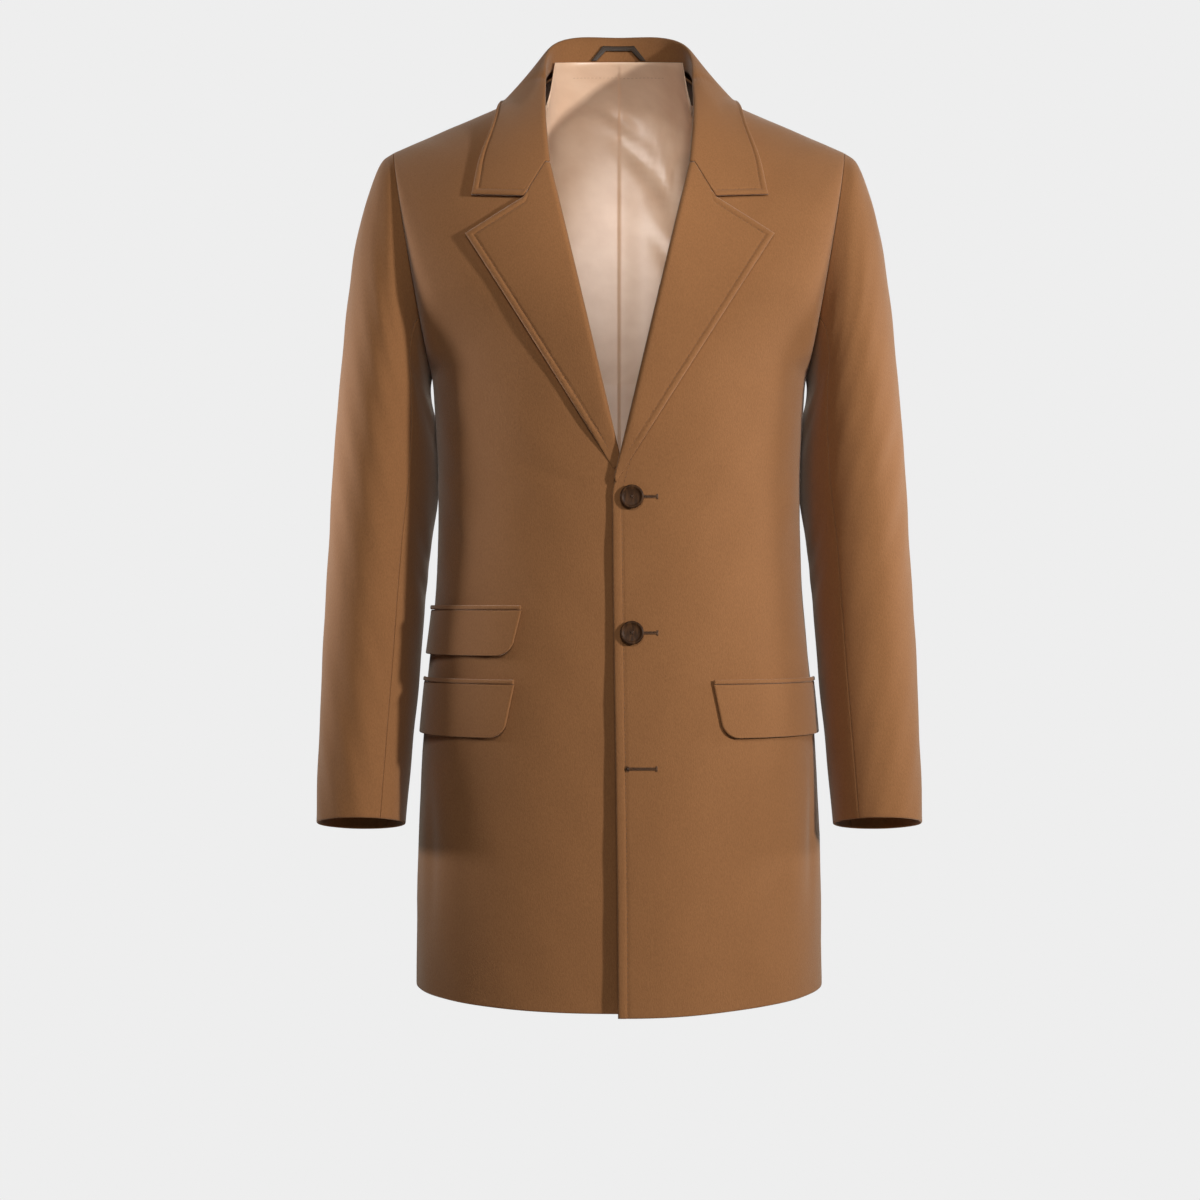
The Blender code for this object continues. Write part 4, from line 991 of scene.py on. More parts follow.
def add_node(tree, kind, settings=None, **links):
    """A node with its settings: socket values by name or number, else properties; links by socket name."""
    node = tree.nodes.new(kind)
    for name, value in (settings or {}).items():
        if isinstance(name, int) or name in node.inputs:
            node.inputs[name].default_value = value
        else:
            setattr(node, name, value)
    for name, source in links.items():
        tree.links.new(source, node.inputs[name.replace("_", " ")])
    return node


def start_material(name, finish):
    """A new node material with its shader's values set, its tree and its shader."""
    material = bpy.data.materials.new(name)
    material.use_nodes = True
    tree = material.node_tree
    shader = tree.nodes["Principled BSDF"]
    for socket, value in finish.items():
        shader.inputs[socket].default_value = value
    return material, tree, shader


def per_metre(size_mm):
    """A noise scale whose features are about this many millimetres."""
    return 1000.0 / size_mm


def noise(tree, place, size_mm, **settings):
    """Noise whose features are about this many millimetres."""
    settings["Scale"] = per_metre(size_mm)
    return add_node(tree, "ShaderNodeTexNoise", settings, Vector=place).outputs[0]


def colour_between(tree, shader, factor, first, second):
    """Colours the surface from the first colour to the second, by a factor."""
    mix = add_node(tree, "ShaderNodeMix", {"data_type": "RGBA", 6: first, 7: second})
    tree.links.new(factor, mix.inputs[0])
    tree.links.new(mix.outputs[2], shader.inputs["Base Color"])


def raise_relief(tree, shader, height, strength, distance):
    """Fine relief on the surface."""
    bump = add_node(tree, "ShaderNodeBump", {"Strength": strength, "Distance": distance}, Height=height)
    tree.links.new(bump.outputs[0], shader.inputs["Normal"])


def camel_melton(colours):
    """Fulled woollen cloth: a dull, dense surface whose brushed fibres catch light at its edges."""
    material, tree, shader = start_material("camel_wool_melton", {
        "Roughness": 0.86, "Specular IOR Level": 0.18, "Sheen Weight": 0.40, "Sheen Roughness": 0.42,
        "Sheen Tint": colours.sheen,
    })
    place = add_node(tree, "ShaderNodeTexCoord").outputs["Object"]
    # Fibres lie downwards; the real nap is about 0.3 mm and is drawn at 1.1 mm so that it shows
    brushed = add_node(tree, "ShaderNodeMapping", {"Scale": (1.0, 1.0, 0.45)}, Vector=place)
    nap = noise(tree, brushed.outputs[0], size_mm=1.1, Detail=3.0, Roughness=0.65)
    cloud = noise(tree, place, size_mm=38.0, Detail=2.0)
    # Low places of the nap are coloured nearer the dark camel: painted shade in its hollows; the broad
    # cloud is the cloth's own random tone
    nap_range = add_node(tree, "ShaderNodeMapRange", {"From Min": 0.28, "From Max": 0.72, "To Max": 0.72},
                         Value=nap)
    both = add_node(tree, "ShaderNodeMath", {"operation": "MULTIPLY_ADD", 1: 0.28}, Value=cloud)
    tree.links.new(nap_range.outputs[0], both.inputs[2])
    colour_between(tree, shader, both.outputs[0], colours.camel_dark, colours.camel_light)
    raise_relief(tree, shader, nap, strength=0.35, distance=0.0007)
    return material


def cream_satin(colours):
    """Viscose satin lining: long floats along the cloth give a soft, smooth sheen."""
    material, tree, shader = start_material("cream_satin_lining", {
        "Roughness": 0.38, "Specular IOR Level": 0.55, "Sheen Weight": 0.15,
    })
    chart = add_node(tree, "ShaderNodeTexCoord").outputs["UV"]
    # Floats run up the cloth; they are 0.2 mm apart and drawn at 0.9 mm
    floats = add_node(tree, "ShaderNodeMapping", {"Scale": (1.0, 0.06, 1.0)}, Vector=chart)
    weave = noise(tree, floats.outputs[0], size_mm=0.9, Detail=2.0)
    # A cloud of deeper cream: painted shade, a soft mottle standing for the lining's creases
    cloud = noise(tree, chart, size_mm=30.0, Detail=3.0)
    colour_between(tree, shader, cloud, colours.cream_shade, colours.cream)
    raise_relief(tree, shader, weave, strength=0.15, distance=0.0003)
    return material


def dark_horn(colours):
    """Dark horn: near black brown with paler streaks under a worn, half dull polish."""
    material, tree, shader = start_material("polished_dark_horn", {
        "Roughness": 0.48, "Specular IOR Level": 0.12, "IOR": 1.54,
    })
    place = add_node(tree, "ShaderNodeTexCoord").outputs["Object"]
    grain = add_node(tree, "ShaderNodeMapping", {"Scale": (1.0, 1.0, 0.25), "Rotation": (0.0, 0.5, 0.0)},
                     Vector=place)
    streak = noise(tree, grain.outputs[0], size_mm=2.6, Detail=4.0, Distortion=0.6)
    clear = add_node(tree, "ShaderNodeMapRange", {"From Min": 0.45, "From Max": 0.75}, Value=streak)
    colour_between(tree, shader, clear.outputs[0], colours.horn, colours.horn_streak)
    return material


def dark_braid(colours):
    """Flat woven viscose braid: fine crossing ribs with a dull gloss."""
    material, tree, shader = start_material("dark_viscose_braid", {"Roughness": 0.55})
    chart = add_node(tree, "ShaderNodeTexCoord").outputs["UV"]
    # Ribs are 0.6 mm apart and drawn at 1.2 mm
    turned = add_node(tree, "ShaderNodeMapping", {"Rotation": (0.0, 0.0, math.pi / 4)}, Vector=chart)
    # Every other check takes the lighter colour: painted highlight for the ribs that catch light
    ribs = add_node(tree, "ShaderNodeTexChecker", {
        "Scale": per_metre(1.2), "Color1": colours.braid, "Color2": colours.braid_rib_highlight,
    }, Vector=turned.outputs[0])
    tree.links.new(ribs.outputs[0], shader.inputs["Base Color"])
    raise_relief(tree, shader, ribs.outputs[1], strength=0.4, distance=0.0004)
    return material


def sewing_thread(name, light, dark):
    """Twisted sewing thread: fine turns of light and dark, the dark ones painted shade between the twists,
    with a slight gloss.
    """
    material, tree, shader = start_material(name, {"Roughness": 0.6})
    place = add_node(tree, "ShaderNodeTexCoord").outputs["Object"]
    twist = noise(tree, place, size_mm=0.5, Detail=1.0)
    colour_between(tree, shader, twist, dark, light)
    return material


def studio_floor(colours):
    """Matt pale paper that fades out into the background a little way off."""
    material, tree, shader = start_material("pale_floor_paper", {
        "Base Color": colours.backdrop, "Roughness": 0.9,
    })
    place = add_node(tree, "ShaderNodeTexCoord").outputs["Object"]
    flat = add_node(tree, "ShaderNodeVectorMath", {"operation": "MULTIPLY", 1: (1.0, 1.0, 0.0)})
    tree.links.new(place, flat.inputs[0])
    away = add_node(tree, "ShaderNodeVectorMath", {"operation": "LENGTH"})
    tree.links.new(flat.outputs[0], away.inputs[0])
    fade = add_node(tree, "ShaderNodeMapRange", {"interpolation_type": "SMOOTHSTEP",
                                                 "From Min": FLOOR_FADES_FROM, "From Max": FLOOR_RADIUS},
                    Value=away.outputs["Value"])
    clear = add_node(tree, "ShaderNodeBsdfTransparent")
    both = add_node(tree, "ShaderNodeMixShader")
    tree.links.new(fade.outputs[0], both.inputs[0])
    tree.links.new(shader.outputs[0], both.inputs[1])
    tree.links.new(clear.outputs[0], both.inputs[2])
    tree.links.new(both.outputs[0], tree.nodes["Material Output"].inputs[0])
    return material


def a_length(name, description, default):
    return bpy.props.FloatProperty(name=name, description=description, default=default, min=0.0,
                                   precision=5, unit="LENGTH")


def a_colour(name, description, text):
    return bpy.props.FloatVectorProperty(name=name, description=description, default=hex_colour(text),
                                         size=4, min=0.0, max=1.0, subtype="COLOR")


class OvercoatSizes(bpy.types.PropertyGroup):
    """Sizes of the sewing and the buttons, in metres."""
    stitch_inset: a_length("Edge stitch inset", "From the lapel's and collar's edge to its stitches",
                           0.0066)
    front_inset: a_length("Front stitch inset", "From the left front's edge to its stitches", 0.0092)
    stitch_pitch: a_length("Stitch pitch", "From one edge stitch to the next", 0.0042)
    stitch_length: a_length("Stitch length", "Length of the thread that shows in one stitch", 0.0027)
    stitch_depth: a_length("Stitch depth", "How far the stitches pull the cloth down", 0.0007)
    stitch_dip_width: a_length("Stitch dip width", "Half the width of the dip along the stitches", 0.0009)
    thread_width: a_length("Thread width", "Thickness of the sewing thread", 0.0005)
    edge_swell: a_length("Edge swell", "How far a stitched edge puffs up", 0.0006)
    unevenness: a_length("Unevenness", "Height of the hanging cloth's faint waves", 0.0005)
    buttonhole: a_length("Buttonhole", "Length of a buttonhole", 0.0255)
    button_radius: a_length("Button radius", "Half the width of a front button",
                            (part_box("button_top")[1].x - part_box("button_top")[0].x) / 2)


class OvercoatColours(bpy.types.PropertyGroup):
    """Colours of the cloth, horn, thread and studio."""
    # The dark camel is painted shade in the nap's hollows and the light camel is its tips; the broad
    # random cloud between them is the cloth's own tone
    camel_light: a_colour("Camel, light", "Tips of the wool's nap", "#9B6A41")
    camel_dark: a_colour("Camel, dark", "Depth of the wool's nap", "#855935")
    sheen: a_colour("Sheen", "Light caught by the wool's nap at its edges", "#FFF0E0")
    cream: a_colour("Cream", "Lining satin", "#FCDABC")
    # The deeper cream is painted shade standing for the lining's soft creases; it also colours the light
    # turns of the lining's thread
    cream_shade: a_colour("Cream, shade", "Deeper cloud of the lining satin", "#E0B593")
    cream_thread: a_colour("Cream thread", "Shaded turns of the lining's thread", "#B08A68")
    horn: a_colour("Horn", "Body of the buttons", "#3A2413")
    horn_streak: a_colour("Horn streak", "Paler streaks in the buttons", "#5A3B22")
    braid: a_colour("Braid", "Hanger loop", "#2E2014")
    # Painted highlight on the braid's ribs
    braid_rib_highlight: a_colour("Braid, light", "Raised ribs of the hanger loop", "#47331F")
    thread: a_colour("Thread", "Edge stitching", "#8A603B")
    thread_dark: a_colour("Thread, dark", "Shaded turns of the thread", "#5C3D22")
    twist: a_colour("Buttonhole twist", "Buttonholes' thread", "#6A4526")
    slit: a_colour("Slit", "Shade inside a buttonhole", "#382212")
    backdrop: a_colour("Backdrop", "Background and floor", "#EEEEEE")


def sizes_and_colours():
    scene = bpy.context.scene
    return scene.overcoat_sizes, scene.overcoat_colours


def wool():
    material = bpy.data.materials.get("camel_wool_melton")
    return material or camel_melton(sizes_and_colours()[1])


def side_and_armhole(side, column, rows):
    """Seam planes down one edge of a body panel: the side seam, then the armhole."""
    middle = rows // 2
    side_seam = slice(0, middle + 1), column, AXIS_Y
    return [side_seam, (slice(middle, rows + 1), column, armhole_normal(side))]


class OVERCOAT_OT_body(bpy.types.Operator):
    """Two fronts and the back, with their soft folds."""
    bl_idname = "overcoat.body"
    bl_label = "Fronts and back"

    def execute(self, context):
        sizes, _ = sizes_and_colours()
        columns, rows, width, length = FRONT_GRID
        below, above = steps_between(rows // 2, length) / 2, steps_between(rows // 2, CHEST_LENGTH) / 2
        ups = np.concatenate((below, 0.5 + above[1:]))
        across = steps_between(columns, width)
        for side, word in NAME_OF_SIDE.items():
            def place(column, row, side=side):
                return front_point(side, across[column], ups[row])
            seams = side_and_armhole(side, -1, rows) + [(-1, slice(0, columns), AXIS_Y)]
            panel = Panel(place, columns, rows, side, seams, rows // 2)
            drape = panel.creased(FRONT_CREASES[side]) + panel.undulation(sizes.unevenness)
            drape = panel.faded(drape, BODY_FOLDS_FADE, "right", "high")
            under_break = panel.points[..., 2] - ROLL_END[side][1]
            below_break = 1.0 - soft_step(-SWELL_FULL_BELOW, -SWELL_STARTS_BELOW, under_break)
            swell = swelled(panel.u, sizes.front_inset, sizes) * below_break * FRONT_SWELL[side]
            edges = {**ALL_SEWN, "left": FREE_EDGE, "low": FREE_EDGE}
            piece = panel.sewn(f"front_{word}_wool", CLOTH, wool(), edges, drape, swell)
            dress(piece, "camel_wool", f"front_{word}")
            if side == LEFT:
                run = panel.line_in_from("left", sizes.front_inset, *FRONT_STITCH_ROWS)
                OVERCOAT_OT_stitching.runs.append(run)
        self.back(sizes, ups)
        return {"FINISHED"}

    def back(self, sizes, ups):
        columns, rows, width, _ = BACK_GRID
        across = steps_between(columns, width) * 2.0 - 1.0

        def place(column, row):
            return back_point(across[column], ups[row])
        seams = side_and_armhole(RIGHT, 0, rows) + side_and_armhole(LEFT, -1, rows)
        panel = Panel(place, columns, rows, -1, seams + [(-1, slice(1, columns), AXIS_Y)], rows // 2)
        drape = panel.creased(BACK_CREASES) + panel.undulation(sizes.unevenness)
        drape = panel.faded(drape, BODY_FOLDS_FADE, "left", "right", "high")
        piece = panel.sewn("back_wool", CLOTH, wool(), {**ALL_SEWN, "low": FREE_EDGE}, drape)
        dress(piece, "camel_wool", "back")


class OVERCOAT_OT_sleeves(bpy.types.Operator):
    """Two-piece sleeves, open at the cuffs."""
    bl_idname = "overcoat.sleeves"
    bl_label = "Sleeves"

    def execute(self, context):
        sizes, _ = sizes_and_colours()
        rows = SLEEVE_ROWS
        alongs = steps_between(rows, SLEEVE_LENGTH)
        spread = SEAM_GAP / 2 / ARMHOLE_HALF_DEPTH
        top, under = SLEEVE_SEAM_ANGLE - spread, SLEEVE_SEAM_ANGLE + spread
        edges = {**ALL_SEWN, "high": FREE_EDGE}
        for side, word in NAME_OF_SIDE.items():
            pieces = (
                ("top", -top, top, TOP_SLEEVE_COLUMNS, TOP_SLEEVE_CREASES[side], (0.27, 0.70), 0.150),
                ("under", under, 2.0 * math.pi - under, UNDER_SLEEVE_COLUMNS, UNDER_SLEEVE_CREASES,
                 (0.14, 0.55), 0.060),
            )
            for part, start, end, columns, creases, flat, area in pieces:
                arounds = blend(start, end, steps_between(columns, flat[0]))

                def place(column, row, side=side, arounds=arounds):
                    return sleeve_point(side, arounds[column], alongs[row])
                armhole = 0, slice(0, columns + 1), armhole_normal(side)
                panel = Panel(place, columns, rows, side, [armhole])
                drape = panel.creased(creases) + panel.undulation(sizes.unevenness)
                drape = panel.faded(drape, SLEEVE_FOLDS_FADE, "left", "right", "low")
                piece = panel.sewn(f"sleeve_{part}_{word}_wool", CLOTH, wool(), edges, drape)
                dress(piece, "camel_wool", f"sleeve_{part}_{word}")
        return {"FINISHED"}


class OVERCOAT_OT_collar(bpy.types.Operator):
    """Collar and lapels, turned over and stitched along their edges."""
    bl_idname = "overcoat.collar"
    bl_label = "Collar and lapels"

    def execute(self, context):
        sizes, _ = sizes_and_colours()
        self.collar(sizes)
        for side, word in NAME_OF_SIDE.items():
            self.lapel(side, word, sizes)
        return {"FINISHED"}

    def collar(self, sizes):
        half, rows, round_neck, _ = HALF_COLLAR_GRID
        shares = 1.0 - steps_from_edge(half, round_neck)[::-1] / round_neck
        across = np.concatenate((-shares[::-1], shares[1:]))

        def place(column, row):
            if row <= ROLL_STEPS:
                return collar_point(across[column], ROLL_SHARE * row / ROLL_STEPS)
            _, fold, edge = collar_lines(across[column])
            fall = np.linalg.norm(edge - fold)
            inset = steps_from_edge(rows - ROLL_STEPS, fall)[rows - row]
            return collar_point(across[column], 1.0 - (1.0 - ROLL_SHARE) * inset / fall)
        ends = [(slice(0, rows + 1), column, AXIS_Z) for column in (0, -1)]
        panel = Panel(place, 2 * half, rows, 1, ends)
        away = panel.away["high"]
        notch_row = {}
        for edge, column in (("left", 0), ("right", -1)):
            down_end = abs(panel.points[ROLL_STEPS:, column, 0])
            notch = np.interp(NOTCH[0], down_end, panel.v[ROLL_STEPS:, column])
            notch_row[edge] = int(np.searchsorted(panel.v[:, column], notch))
            away = np.minimum(away, np.hypot(panel.away[edge], np.maximum(notch - panel.v, 0.0)))
        on_fall = soft_step(FALL_SWELLS_FROM, FALL_SWELLS_BY, np.arange(rows + 1.0))[:, None]
        swell = swelled(away, sizes.stitch_inset, sizes) * on_fall
        edges = {**ALL_FREE, "low": SEAM_EDGE}
        piece = panel.sewn("collar_wool", DOUBLED_CLOTH, wool(), edges, swell=swell)
        dress(piece, "camel_wool", "collar")
        runs = OVERCOAT_OT_stitching.runs
        runs.append(panel.line_in_from("high", sizes.stitch_inset, CORNER_STEPS, -CORNER_STEPS))
        for edge, row in notch_row.items():
            runs.append(panel.line_in_from(edge, sizes.stitch_inset, row, -CORNER_STEPS))

    def lapel(self, side, word, sizes):
        columns, rows, _, length = LAPEL_GRID
        downs = steps_from_edge(rows, length) / length

        def place(column, row):
            if column <= ROLL_STEPS:
                return lapel_point(side, ROLL_SHARE * column / ROLL_STEPS, downs[row])
            roll, edge = lapel_lines(side, downs[row])
            width = np.linalg.norm(edge - roll)
            inset = steps_from_edge(columns - ROLL_STEPS, width)[columns - column]
            return lapel_point(side, 1.0 - (1.0 - ROLL_SHARE) * inset / width, downs[row])
        panel = Panel(place, columns, rows, -side, [(0, slice(0, columns + 1), AXIS_Z)])
        notch = np.interp(NOTCH[0], abs(panel.points[0, ROLL_STEPS:, 0]), panel.u[0, ROLL_STEPS:])
        from_top = np.hypot(panel.v, np.maximum(notch - panel.u, 0.0))
        away = np.minimum(panel.away["right"], from_top)
        wide = soft_step(LAPEL_SWELLS_FROM, LAPEL_SWELLS_BY, panel.u[:, -1:])
        swell = swelled(away, sizes.stitch_inset, sizes) * wide
        walls = np.array([[lapel_fold(down)[0]] for down in downs])
        piece = panel.sewn(f"lapel_{word}_wool", walls, wool(), ALL_FREE, swell=swell)
        dress(piece, "camel_wool", f"lapel_{word}")
        notch_column = int(np.searchsorted(panel.u[0], notch))
        narrow = int(np.argmax(panel.u[:, -1] < LAPEL_STITCHED_TO))
        runs = OVERCOAT_OT_stitching.runs
        runs.append(panel.line_in_from("right", sizes.stitch_inset, CORNER_STEPS, narrow))
        runs.append(panel.line_in_from("low", sizes.stitch_inset, notch_column, -CORNER_STEPS))


class OVERCOAT_OT_pockets(bpy.types.Operator):
    """Pocket flaps with the welts that they hang from."""
    bl_idname = "overcoat.pockets"
    bl_label = "Pocket flaps and welts"

    def execute(self, context):
        kinds = (
            ("flap", flap_point, FLAP_GRID, FLAP_CLOTH, (0.16, 0.06), 0.0080),
            ("welt", welt_point, WELT_GRID, WELT_CLOTH, (0.16, 0.01), 0.0009),
        )
        for flap in FLAPS:
            for kind, point, grid, cloth, flat, area in kinds:
                across = steps_between(grid.columns, grid.width)
                downs = steps_between(grid.rows, grid.length)

                def place(column, row, flap=flap, point=point, across=across, downs=downs):
                    return point(flap, across[column], downs[row])
                panel = Panel(place, grid.columns, grid.rows, -flap.side)
                piece = panel.sewn(f"{kind}_{flap.name}_wool", cloth, wool(), ALL_FREE)
                dress(piece, "camel_wool", f"{kind}_{flap.name}")
        return {"FINISHED"}


class OVERCOAT_OT_lining(bpy.types.Operator):
    """Satin lining of the back, with its centre pleat and soft diagonal creases."""
    bl_idname = "overcoat.lining"
    bl_label = "Lining"

    def execute(self, context):
        _, colours = sizes_and_colours()
        half, rows, width, length = HALF_LINING_GRID
        shares = steps_from_edge(half, width) / width
        across = np.concatenate((-shares[:0:-1], shares))
        ups = steps_between(rows, length)

        def place(column, row):
            return lining_point(across[column], blend(LINING_HEM_ROW, LINING_TOP_ROW, ups[row]))
        panel = Panel(place, 2 * half, rows, -1)
        centre = panel.u - panel.u[:, half:half + 1]
        tucked = soft_step(PLEAT_FROM, PLEAT_TO, centre) * (1.0 - soft_step(0.0, PLEAT_FADES_OVER, centre))
        drape = panel.creased(LINING_CREASES) - PLEAT_DEPTH * tucked
        drape = panel.faded(drape, LINING_FOLDS_FADE, "left", "right", "high")
        drape = np.minimum(drape, LINING_FOLD_LIMIT)
        piece = panel.sewn("lining_back_satin", LINING_CLOTH, cream_satin(colours), ALL_SEWN, drape)
        dress(piece, "cream_satin", "lining_back")
        self.neck_seam(panel, half)
        return {"FINISHED"}

    def neck_seam(self, panel, half):
        """Stitches across the lining a little below its top edge, on the side towards the wearer."""
        sizes, colours = sizes_and_colours()
        path, out = panel.line_in_from("high", NECK_BAND, half - NECK_COLUMNS, half + NECK_COLUMNS + 1)
        shape = bmesh.new()
        sew_along(shape, path - out * LINING_CLOTH, -out, sizes)
        thread = sewing_thread("cream_sewing_thread", colours.cream_shade, colours.cream_thread)
        dress(finish_mesh("lining_stitching", shape, thread), "cream_satin")


class OVERCOAT_OT_loop(bpy.types.Operator):
    """Braid loop at the back of the neck."""
    bl_idname = "overcoat.loop"
    bl_label = "Hanger loop"

    def execute(self, context):
        _, colours = sizes_and_colours()
        columns, rows, _, length = LOOP_GRID
        inwards = steps_between(rows, length)

        def place(column, row):
            return loop_point(column / columns, inwards[row])
        panel = Panel(place, columns, rows, 1)
        edges = {"low": FREE_EDGE, "high": FREE_EDGE}
        piece = panel.sewn("hanger_loop_braid", LOOP_CLOTH, dark_braid(colours), edges)
        dress(piece, "dark_braid", "hanger_loop")
        return {"FINISHED"}


class OVERCOAT_OT_stitching(bpy.types.Operator):
    """Stitches along the lapels, the collar and the left front's edge."""
    bl_idname = "overcoat.stitching"
    bl_label = "Edge stitching"
    # Paths and the directions out of the cloth, left here by the pieces as they are sewn
    runs = []

    def execute(self, context):
        sizes, colours = sizes_and_colours()
        shape = bmesh.new()
        for path, out in self.runs:
            sew_along(shape, path, out, sizes)
        self.runs.clear()
        thread = sewing_thread("camel_sewing_thread", colours.thread, colours.thread_dark)
        dress(finish_mesh("edge_stitching", shape, thread), "camel_wool")
        return {"FINISHED"}


class OVERCOAT_OT_buttonholes(bpy.types.Operator):
    """Three worked buttonholes: painted shade as a dark slit between rows of thread, with a bar at its
    end.
    """
    bl_idname = "overcoat.buttonholes"
    bl_label = "Buttonholes"

    def execute(self, context):
        sizes, colours = sizes_and_colours()
        stitches, slit_shades = bmesh.new(), bmesh.new()
        starts = [(BUTTON_X - BUTTONHOLE_BEHIND, level) for level in BUTTON_LEVELS.values()]
        for start_x, level in starts + [LOWEST_BUTTONHOLE]:
            self.work(stitches, slit_shades, start_x, level, sizes)
        twist = sewing_thread("buttonhole_twist", colours.twist, colours.thread_dark)
        dress(finish_mesh("buttonhole_stitches", stitches, twist), "camel_wool")
        shade = sewing_thread("buttonhole_shade", colours.slit, colours.slit)
        dress(finish_mesh("buttonhole_slit_shades", slit_shades, shade), "camel_wool")
        return {"FINISHED"}

    def work(self, stitches, slit_shades, start_x, level, sizes):
        """One buttonhole on the left front, running back from its eye."""
        def on_cloth(x, rise, grow):
            return Vector((x, front_y(LEFT, x, level + rise, grow) - SEAM_GAP / 2, level + rise))
        ahead, end_x, eye_x = Vector((0.0, -1.0, 0.0)), start_x + sizes.buttonhole, start_x - EYE_AHEAD
        for x in np.arange(start_x, end_x, HOLE_PITCH):
            for way in (-1.0, 1.0):
                near = on_cloth(x, way * HOLE_INNER, HOLE_RAISED)
                add_stitch(stitches, near, on_cloth(x, way * HOLE_OUTER, HOLE_BEDDED), ahead, TWIST_WIDTH)
        for step in range(BAR_THREADS):
            bar_x = end_x + BAR_PITCH * step
            low, high = (on_cloth(bar_x, rise, HOLE_RAISED) for rise in (-BAR_HALF, BAR_HALF))
            add_stitch(stitches, low, high, ahead, BAR_WIDTH)
        for turn in np.linspace(0.0, 2.0 * math.pi, EYE_THREADS + 1)[:-1]:
            out, rise = math.cos(turn), math.sin(turn)
            near = on_cloth(eye_x + EYE_INNER * out, EYE_INNER * rise, HOLE_RAISED)
            far = on_cloth(eye_x + EYE_OUTER * out, EYE_OUTER * rise, HOLE_BEDDED)
            add_stitch(stitches, near, far, ahead, TWIST_WIDTH)
        # The slit and the eye are dark spindles of painted shade inside the cut
        slit_start, slit_end = (on_cloth(x, 0.0, SLIT_RAISED) for x in (start_x, end_x))
        add_stitch(slit_shades, slit_start, slit_end, ahead, SLIT_WIDTH)
        eye, half = on_cloth(eye_x, 0.0, SLIT_RAISED), Vector((EYE_HALF, 0.0, 0.0))
        add_stitch(slit_shades, eye - half, eye + half, ahead, EYE_WIDTH)


class OVERCOAT_OT_buttons(bpy.types.Operator):
    """Horn buttons with a raised rim, sewn on with crossed thread."""
    bl_idname = "overcoat.buttons"
    bl_label = "Buttons"

    def execute(self, context):
        sizes, colours = sizes_and_colours()
        horn = dark_horn(colours)
        thread = sewing_thread("button_thread", colours.horn_streak, colours.horn)
        radius = sizes.button_radius
        for name, level in BUTTON_LEVELS.items():
            high_y = front_y(LEFT, BUTTON_X, level + radius)
            low_y = front_y(LEFT, BUTTON_X, level - radius)
            lean = math.atan2(high_y - low_y, 2.0 * radius)
            centre = Vector((BUTTON_X, front_y(LEFT, BUTTON_X, level, BUTTON_STAND), level))
            place = Matrix.Translation(centre) @ Matrix.Rotation(math.pi / 2 - lean, 4, "X")
            disc, holes = self.turned(radius)
            bmesh.ops.transform(disc, matrix=place, verts=disc.verts[:])
            button = finish_mesh(f"{name}_horn", disc, horn)
            dress(button, "dark_horn", name)
            cross = bmesh.new()
            for first, second in ((0, 2), (1, 3)):
                add_stitch(cross, holes[first], holes[second], Vector((0, 0, 1)), BUTTON_THREAD)
            bmesh.ops.transform(cross, matrix=place, verts=cross.verts[:])
            dress(finish_mesh(f"{name}_thread", cross, thread), "dark_horn")
        return {"FINISHED"}

    def turned(self, radius):
        """The disc, spun from its profile, and the tops of its four sewing holes."""
        disc = bmesh.new()
        ring = [disc.verts.new((share * radius, 0.0, level)) for share, level in BUTTON_PROFILE]
        edges = [disc.edges.new(pair) for pair in zip(ring, ring[1:])]
        bmesh.ops.spin(disc, geom=ring + edges, cent=(0, 0, 0), axis=(0, 0, 1), angle=2.0 * math.pi,
                       steps=BUTTON_SPIN, use_merge=True)
        bmesh.ops.remove_doubles(disc, verts=disc.verts[:], dist=1e-6)
        bmesh.ops.recalc_face_normals(disc, faces=disc.faces[:])
        turns = [math.radians(45 + 90 * turn) for turn in range(4)]
        out, rise = SEWING_HOLES_OUT, BUTTON_FLOOR + SEWING_RISE
        return disc, [Vector((out * math.cos(turn), out * math.sin(turn), rise)) for turn in turns]


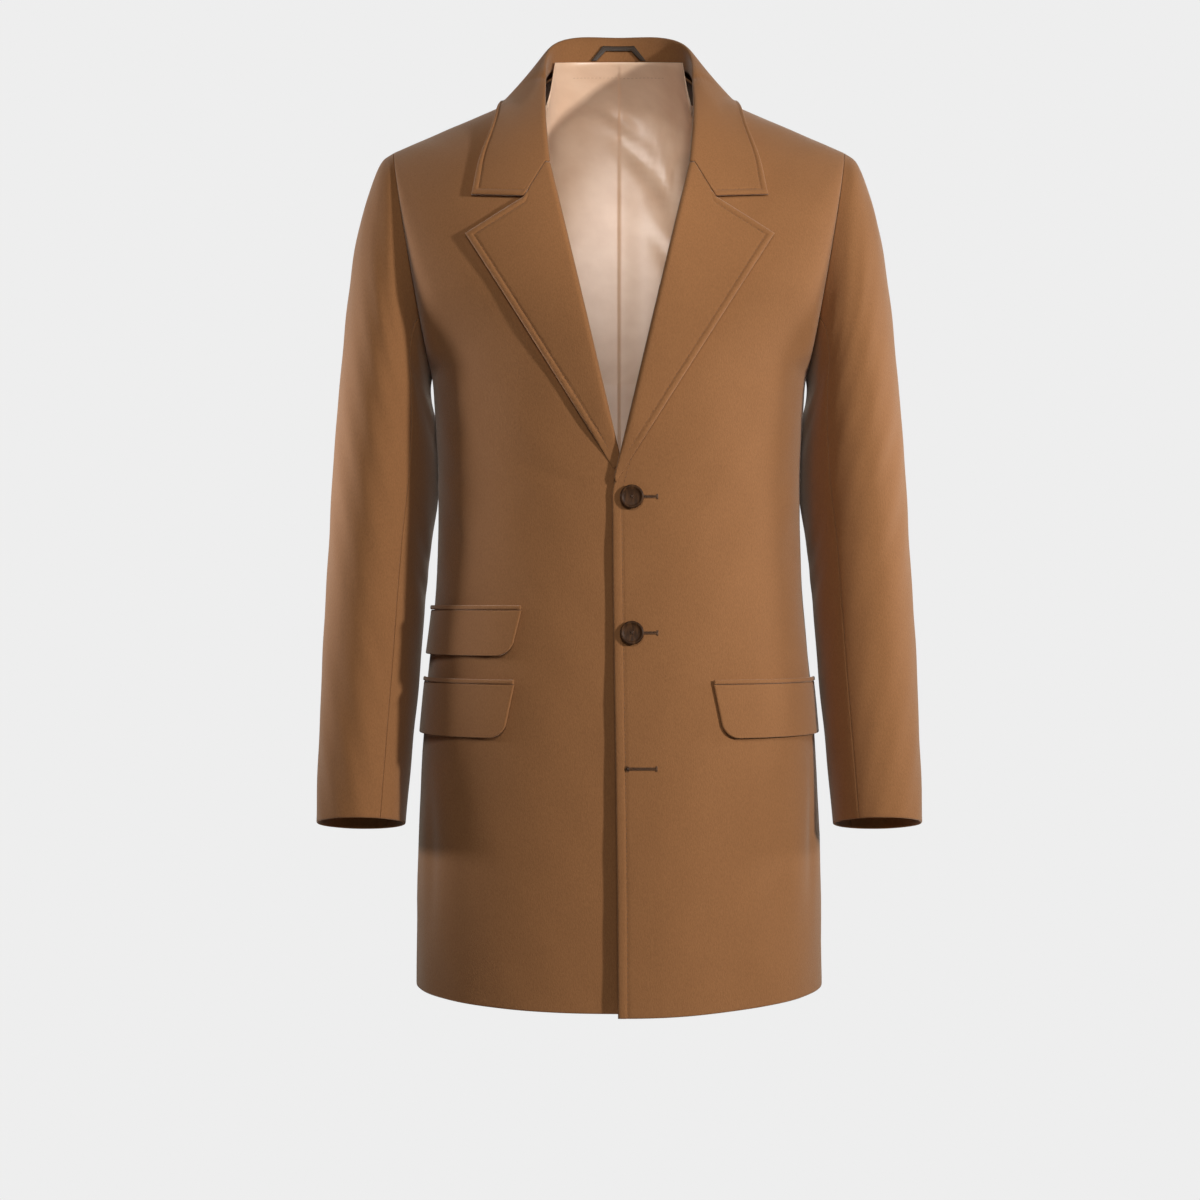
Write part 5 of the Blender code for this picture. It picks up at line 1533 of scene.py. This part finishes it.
class OVERCOAT_OT_stage(bpy.types.Operator):
    """Pale floor, soft studio lights, background and camera."""
    bl_idname = "overcoat.stage"
    bl_label = "Studio"

    def execute(self, context):
        _, colours = sizes_and_colours()
        disc = bmesh.new()
        bmesh.ops.create_circle(disc, cap_ends=True, segments=96, radius=FLOOR_RADIUS)
        bmesh.ops.translate(disc, verts=disc.verts[:], vec=(0.0, 0.0, FLOOR_LEVEL))
        finish_mesh("floor", disc, studio_floor(colours))
        self.background(colours)
        for lamp in LAMPS:
            light = bpy.data.lights.new(lamp.name, "SPOT" if lamp.cone else "AREA")
            light.energy = lamp.power
            if lamp.cone:
                light.spot_size, light.spot_blend = math.radians(lamp.cone), SPOT_SOFTNESS
                light.shadow_soft_size = lamp.size / 2
            else:
                light.shape, light.size = "DISK", lamp.size
            thing = bpy.data.objects.new(lamp.name, light)
            thing.location = lamp.place
            towards = Vector(lamp.aim) - Vector(lamp.place)
            thing.rotation_euler = towards.to_track_quat("-Z", "Y").to_euler()
            context.scene.collection.objects.link(thing)
        camera = bpy.data.cameras.new("camera")
        camera.lens, camera.sensor_width = LENS_MM, SENSOR_MM
        viewer = bpy.data.objects.new("camera", camera)
        viewer.location = CAMERA_PLACE
        viewer.rotation_euler = (math.pi / 2, 0.0, 0.0)
        context.scene.collection.objects.link(viewer)
        context.scene.camera = viewer
        context.scene.view_settings.view_transform = "Standard"
        return {"FINISHED"}

    def background(self, colours):
        """A plain pale background that lights the coat only a little."""
        world = bpy.data.worlds.new("studio")
        world.use_nodes = True
        tree = world.node_tree
        seen = tree.nodes["Background"]
        seen.inputs["Color"].default_value = colours.backdrop
        ambient = add_node(tree, "ShaderNodeBackground", {"Color": colours.backdrop, "Strength": AMBIENT})
        path = add_node(tree, "ShaderNodeLightPath")
        both = add_node(tree, "ShaderNodeMixShader")
        tree.links.new(path.outputs["Is Camera Ray"], both.inputs[0])
        tree.links.new(ambient.outputs[0], both.inputs[1])
        tree.links.new(seen.outputs[0], both.inputs[2])
        tree.links.new(both.outputs[0], tree.nodes["World Output"].inputs[0])
        bpy.context.scene.world = world


OPERATORS = (
    OVERCOAT_OT_stage, OVERCOAT_OT_collar, OVERCOAT_OT_body, OVERCOAT_OT_sleeves, OVERCOAT_OT_pockets,
    OVERCOAT_OT_lining, OVERCOAT_OT_loop, OVERCOAT_OT_buttonholes, OVERCOAT_OT_buttons,
    OVERCOAT_OT_stitching,
)


class OVERCOAT_PT_panel(bpy.types.Panel):
    """The coat's steps and settings, in the sidebar."""
    bl_idname = "OVERCOAT_PT_panel"
    bl_label = "Camel wool overcoat"
    bl_space_type = "VIEW_3D"
    bl_region_type = "UI"
    bl_category = "Overcoat"

    def draw(self, context):
        for operator in OPERATORS:
            self.layout.operator(operator.bl_idname)
        for group in (context.scene.overcoat_sizes, context.scene.overcoat_colours):
            for name in group.bl_rna.properties.keys():
                if name not in ("rna_type", "name"):
                    self.layout.prop(group, name)


CLASSES = (OvercoatSizes, OvercoatColours, *OPERATORS, OVERCOAT_PT_panel)


def register():
    for kind in CLASSES:
        bpy.utils.register_class(kind)
    bpy.types.Scene.overcoat_sizes = bpy.props.PointerProperty(type=OvercoatSizes)
    bpy.types.Scene.overcoat_colours = bpy.props.PointerProperty(type=OvercoatColours)


def unregister():
    del bpy.types.Scene.overcoat_colours
    del bpy.types.Scene.overcoat_sizes
    for kind in reversed(CLASSES):
        bpy.utils.unregister_class(kind)


def main():
    """Builds the coat and its studio."""
    register()
    for operator in OPERATORS:
        group, name = operator.bl_idname.split(".")
        getattr(getattr(bpy.ops, group), name)()


if __name__ == "__main__":
    main()
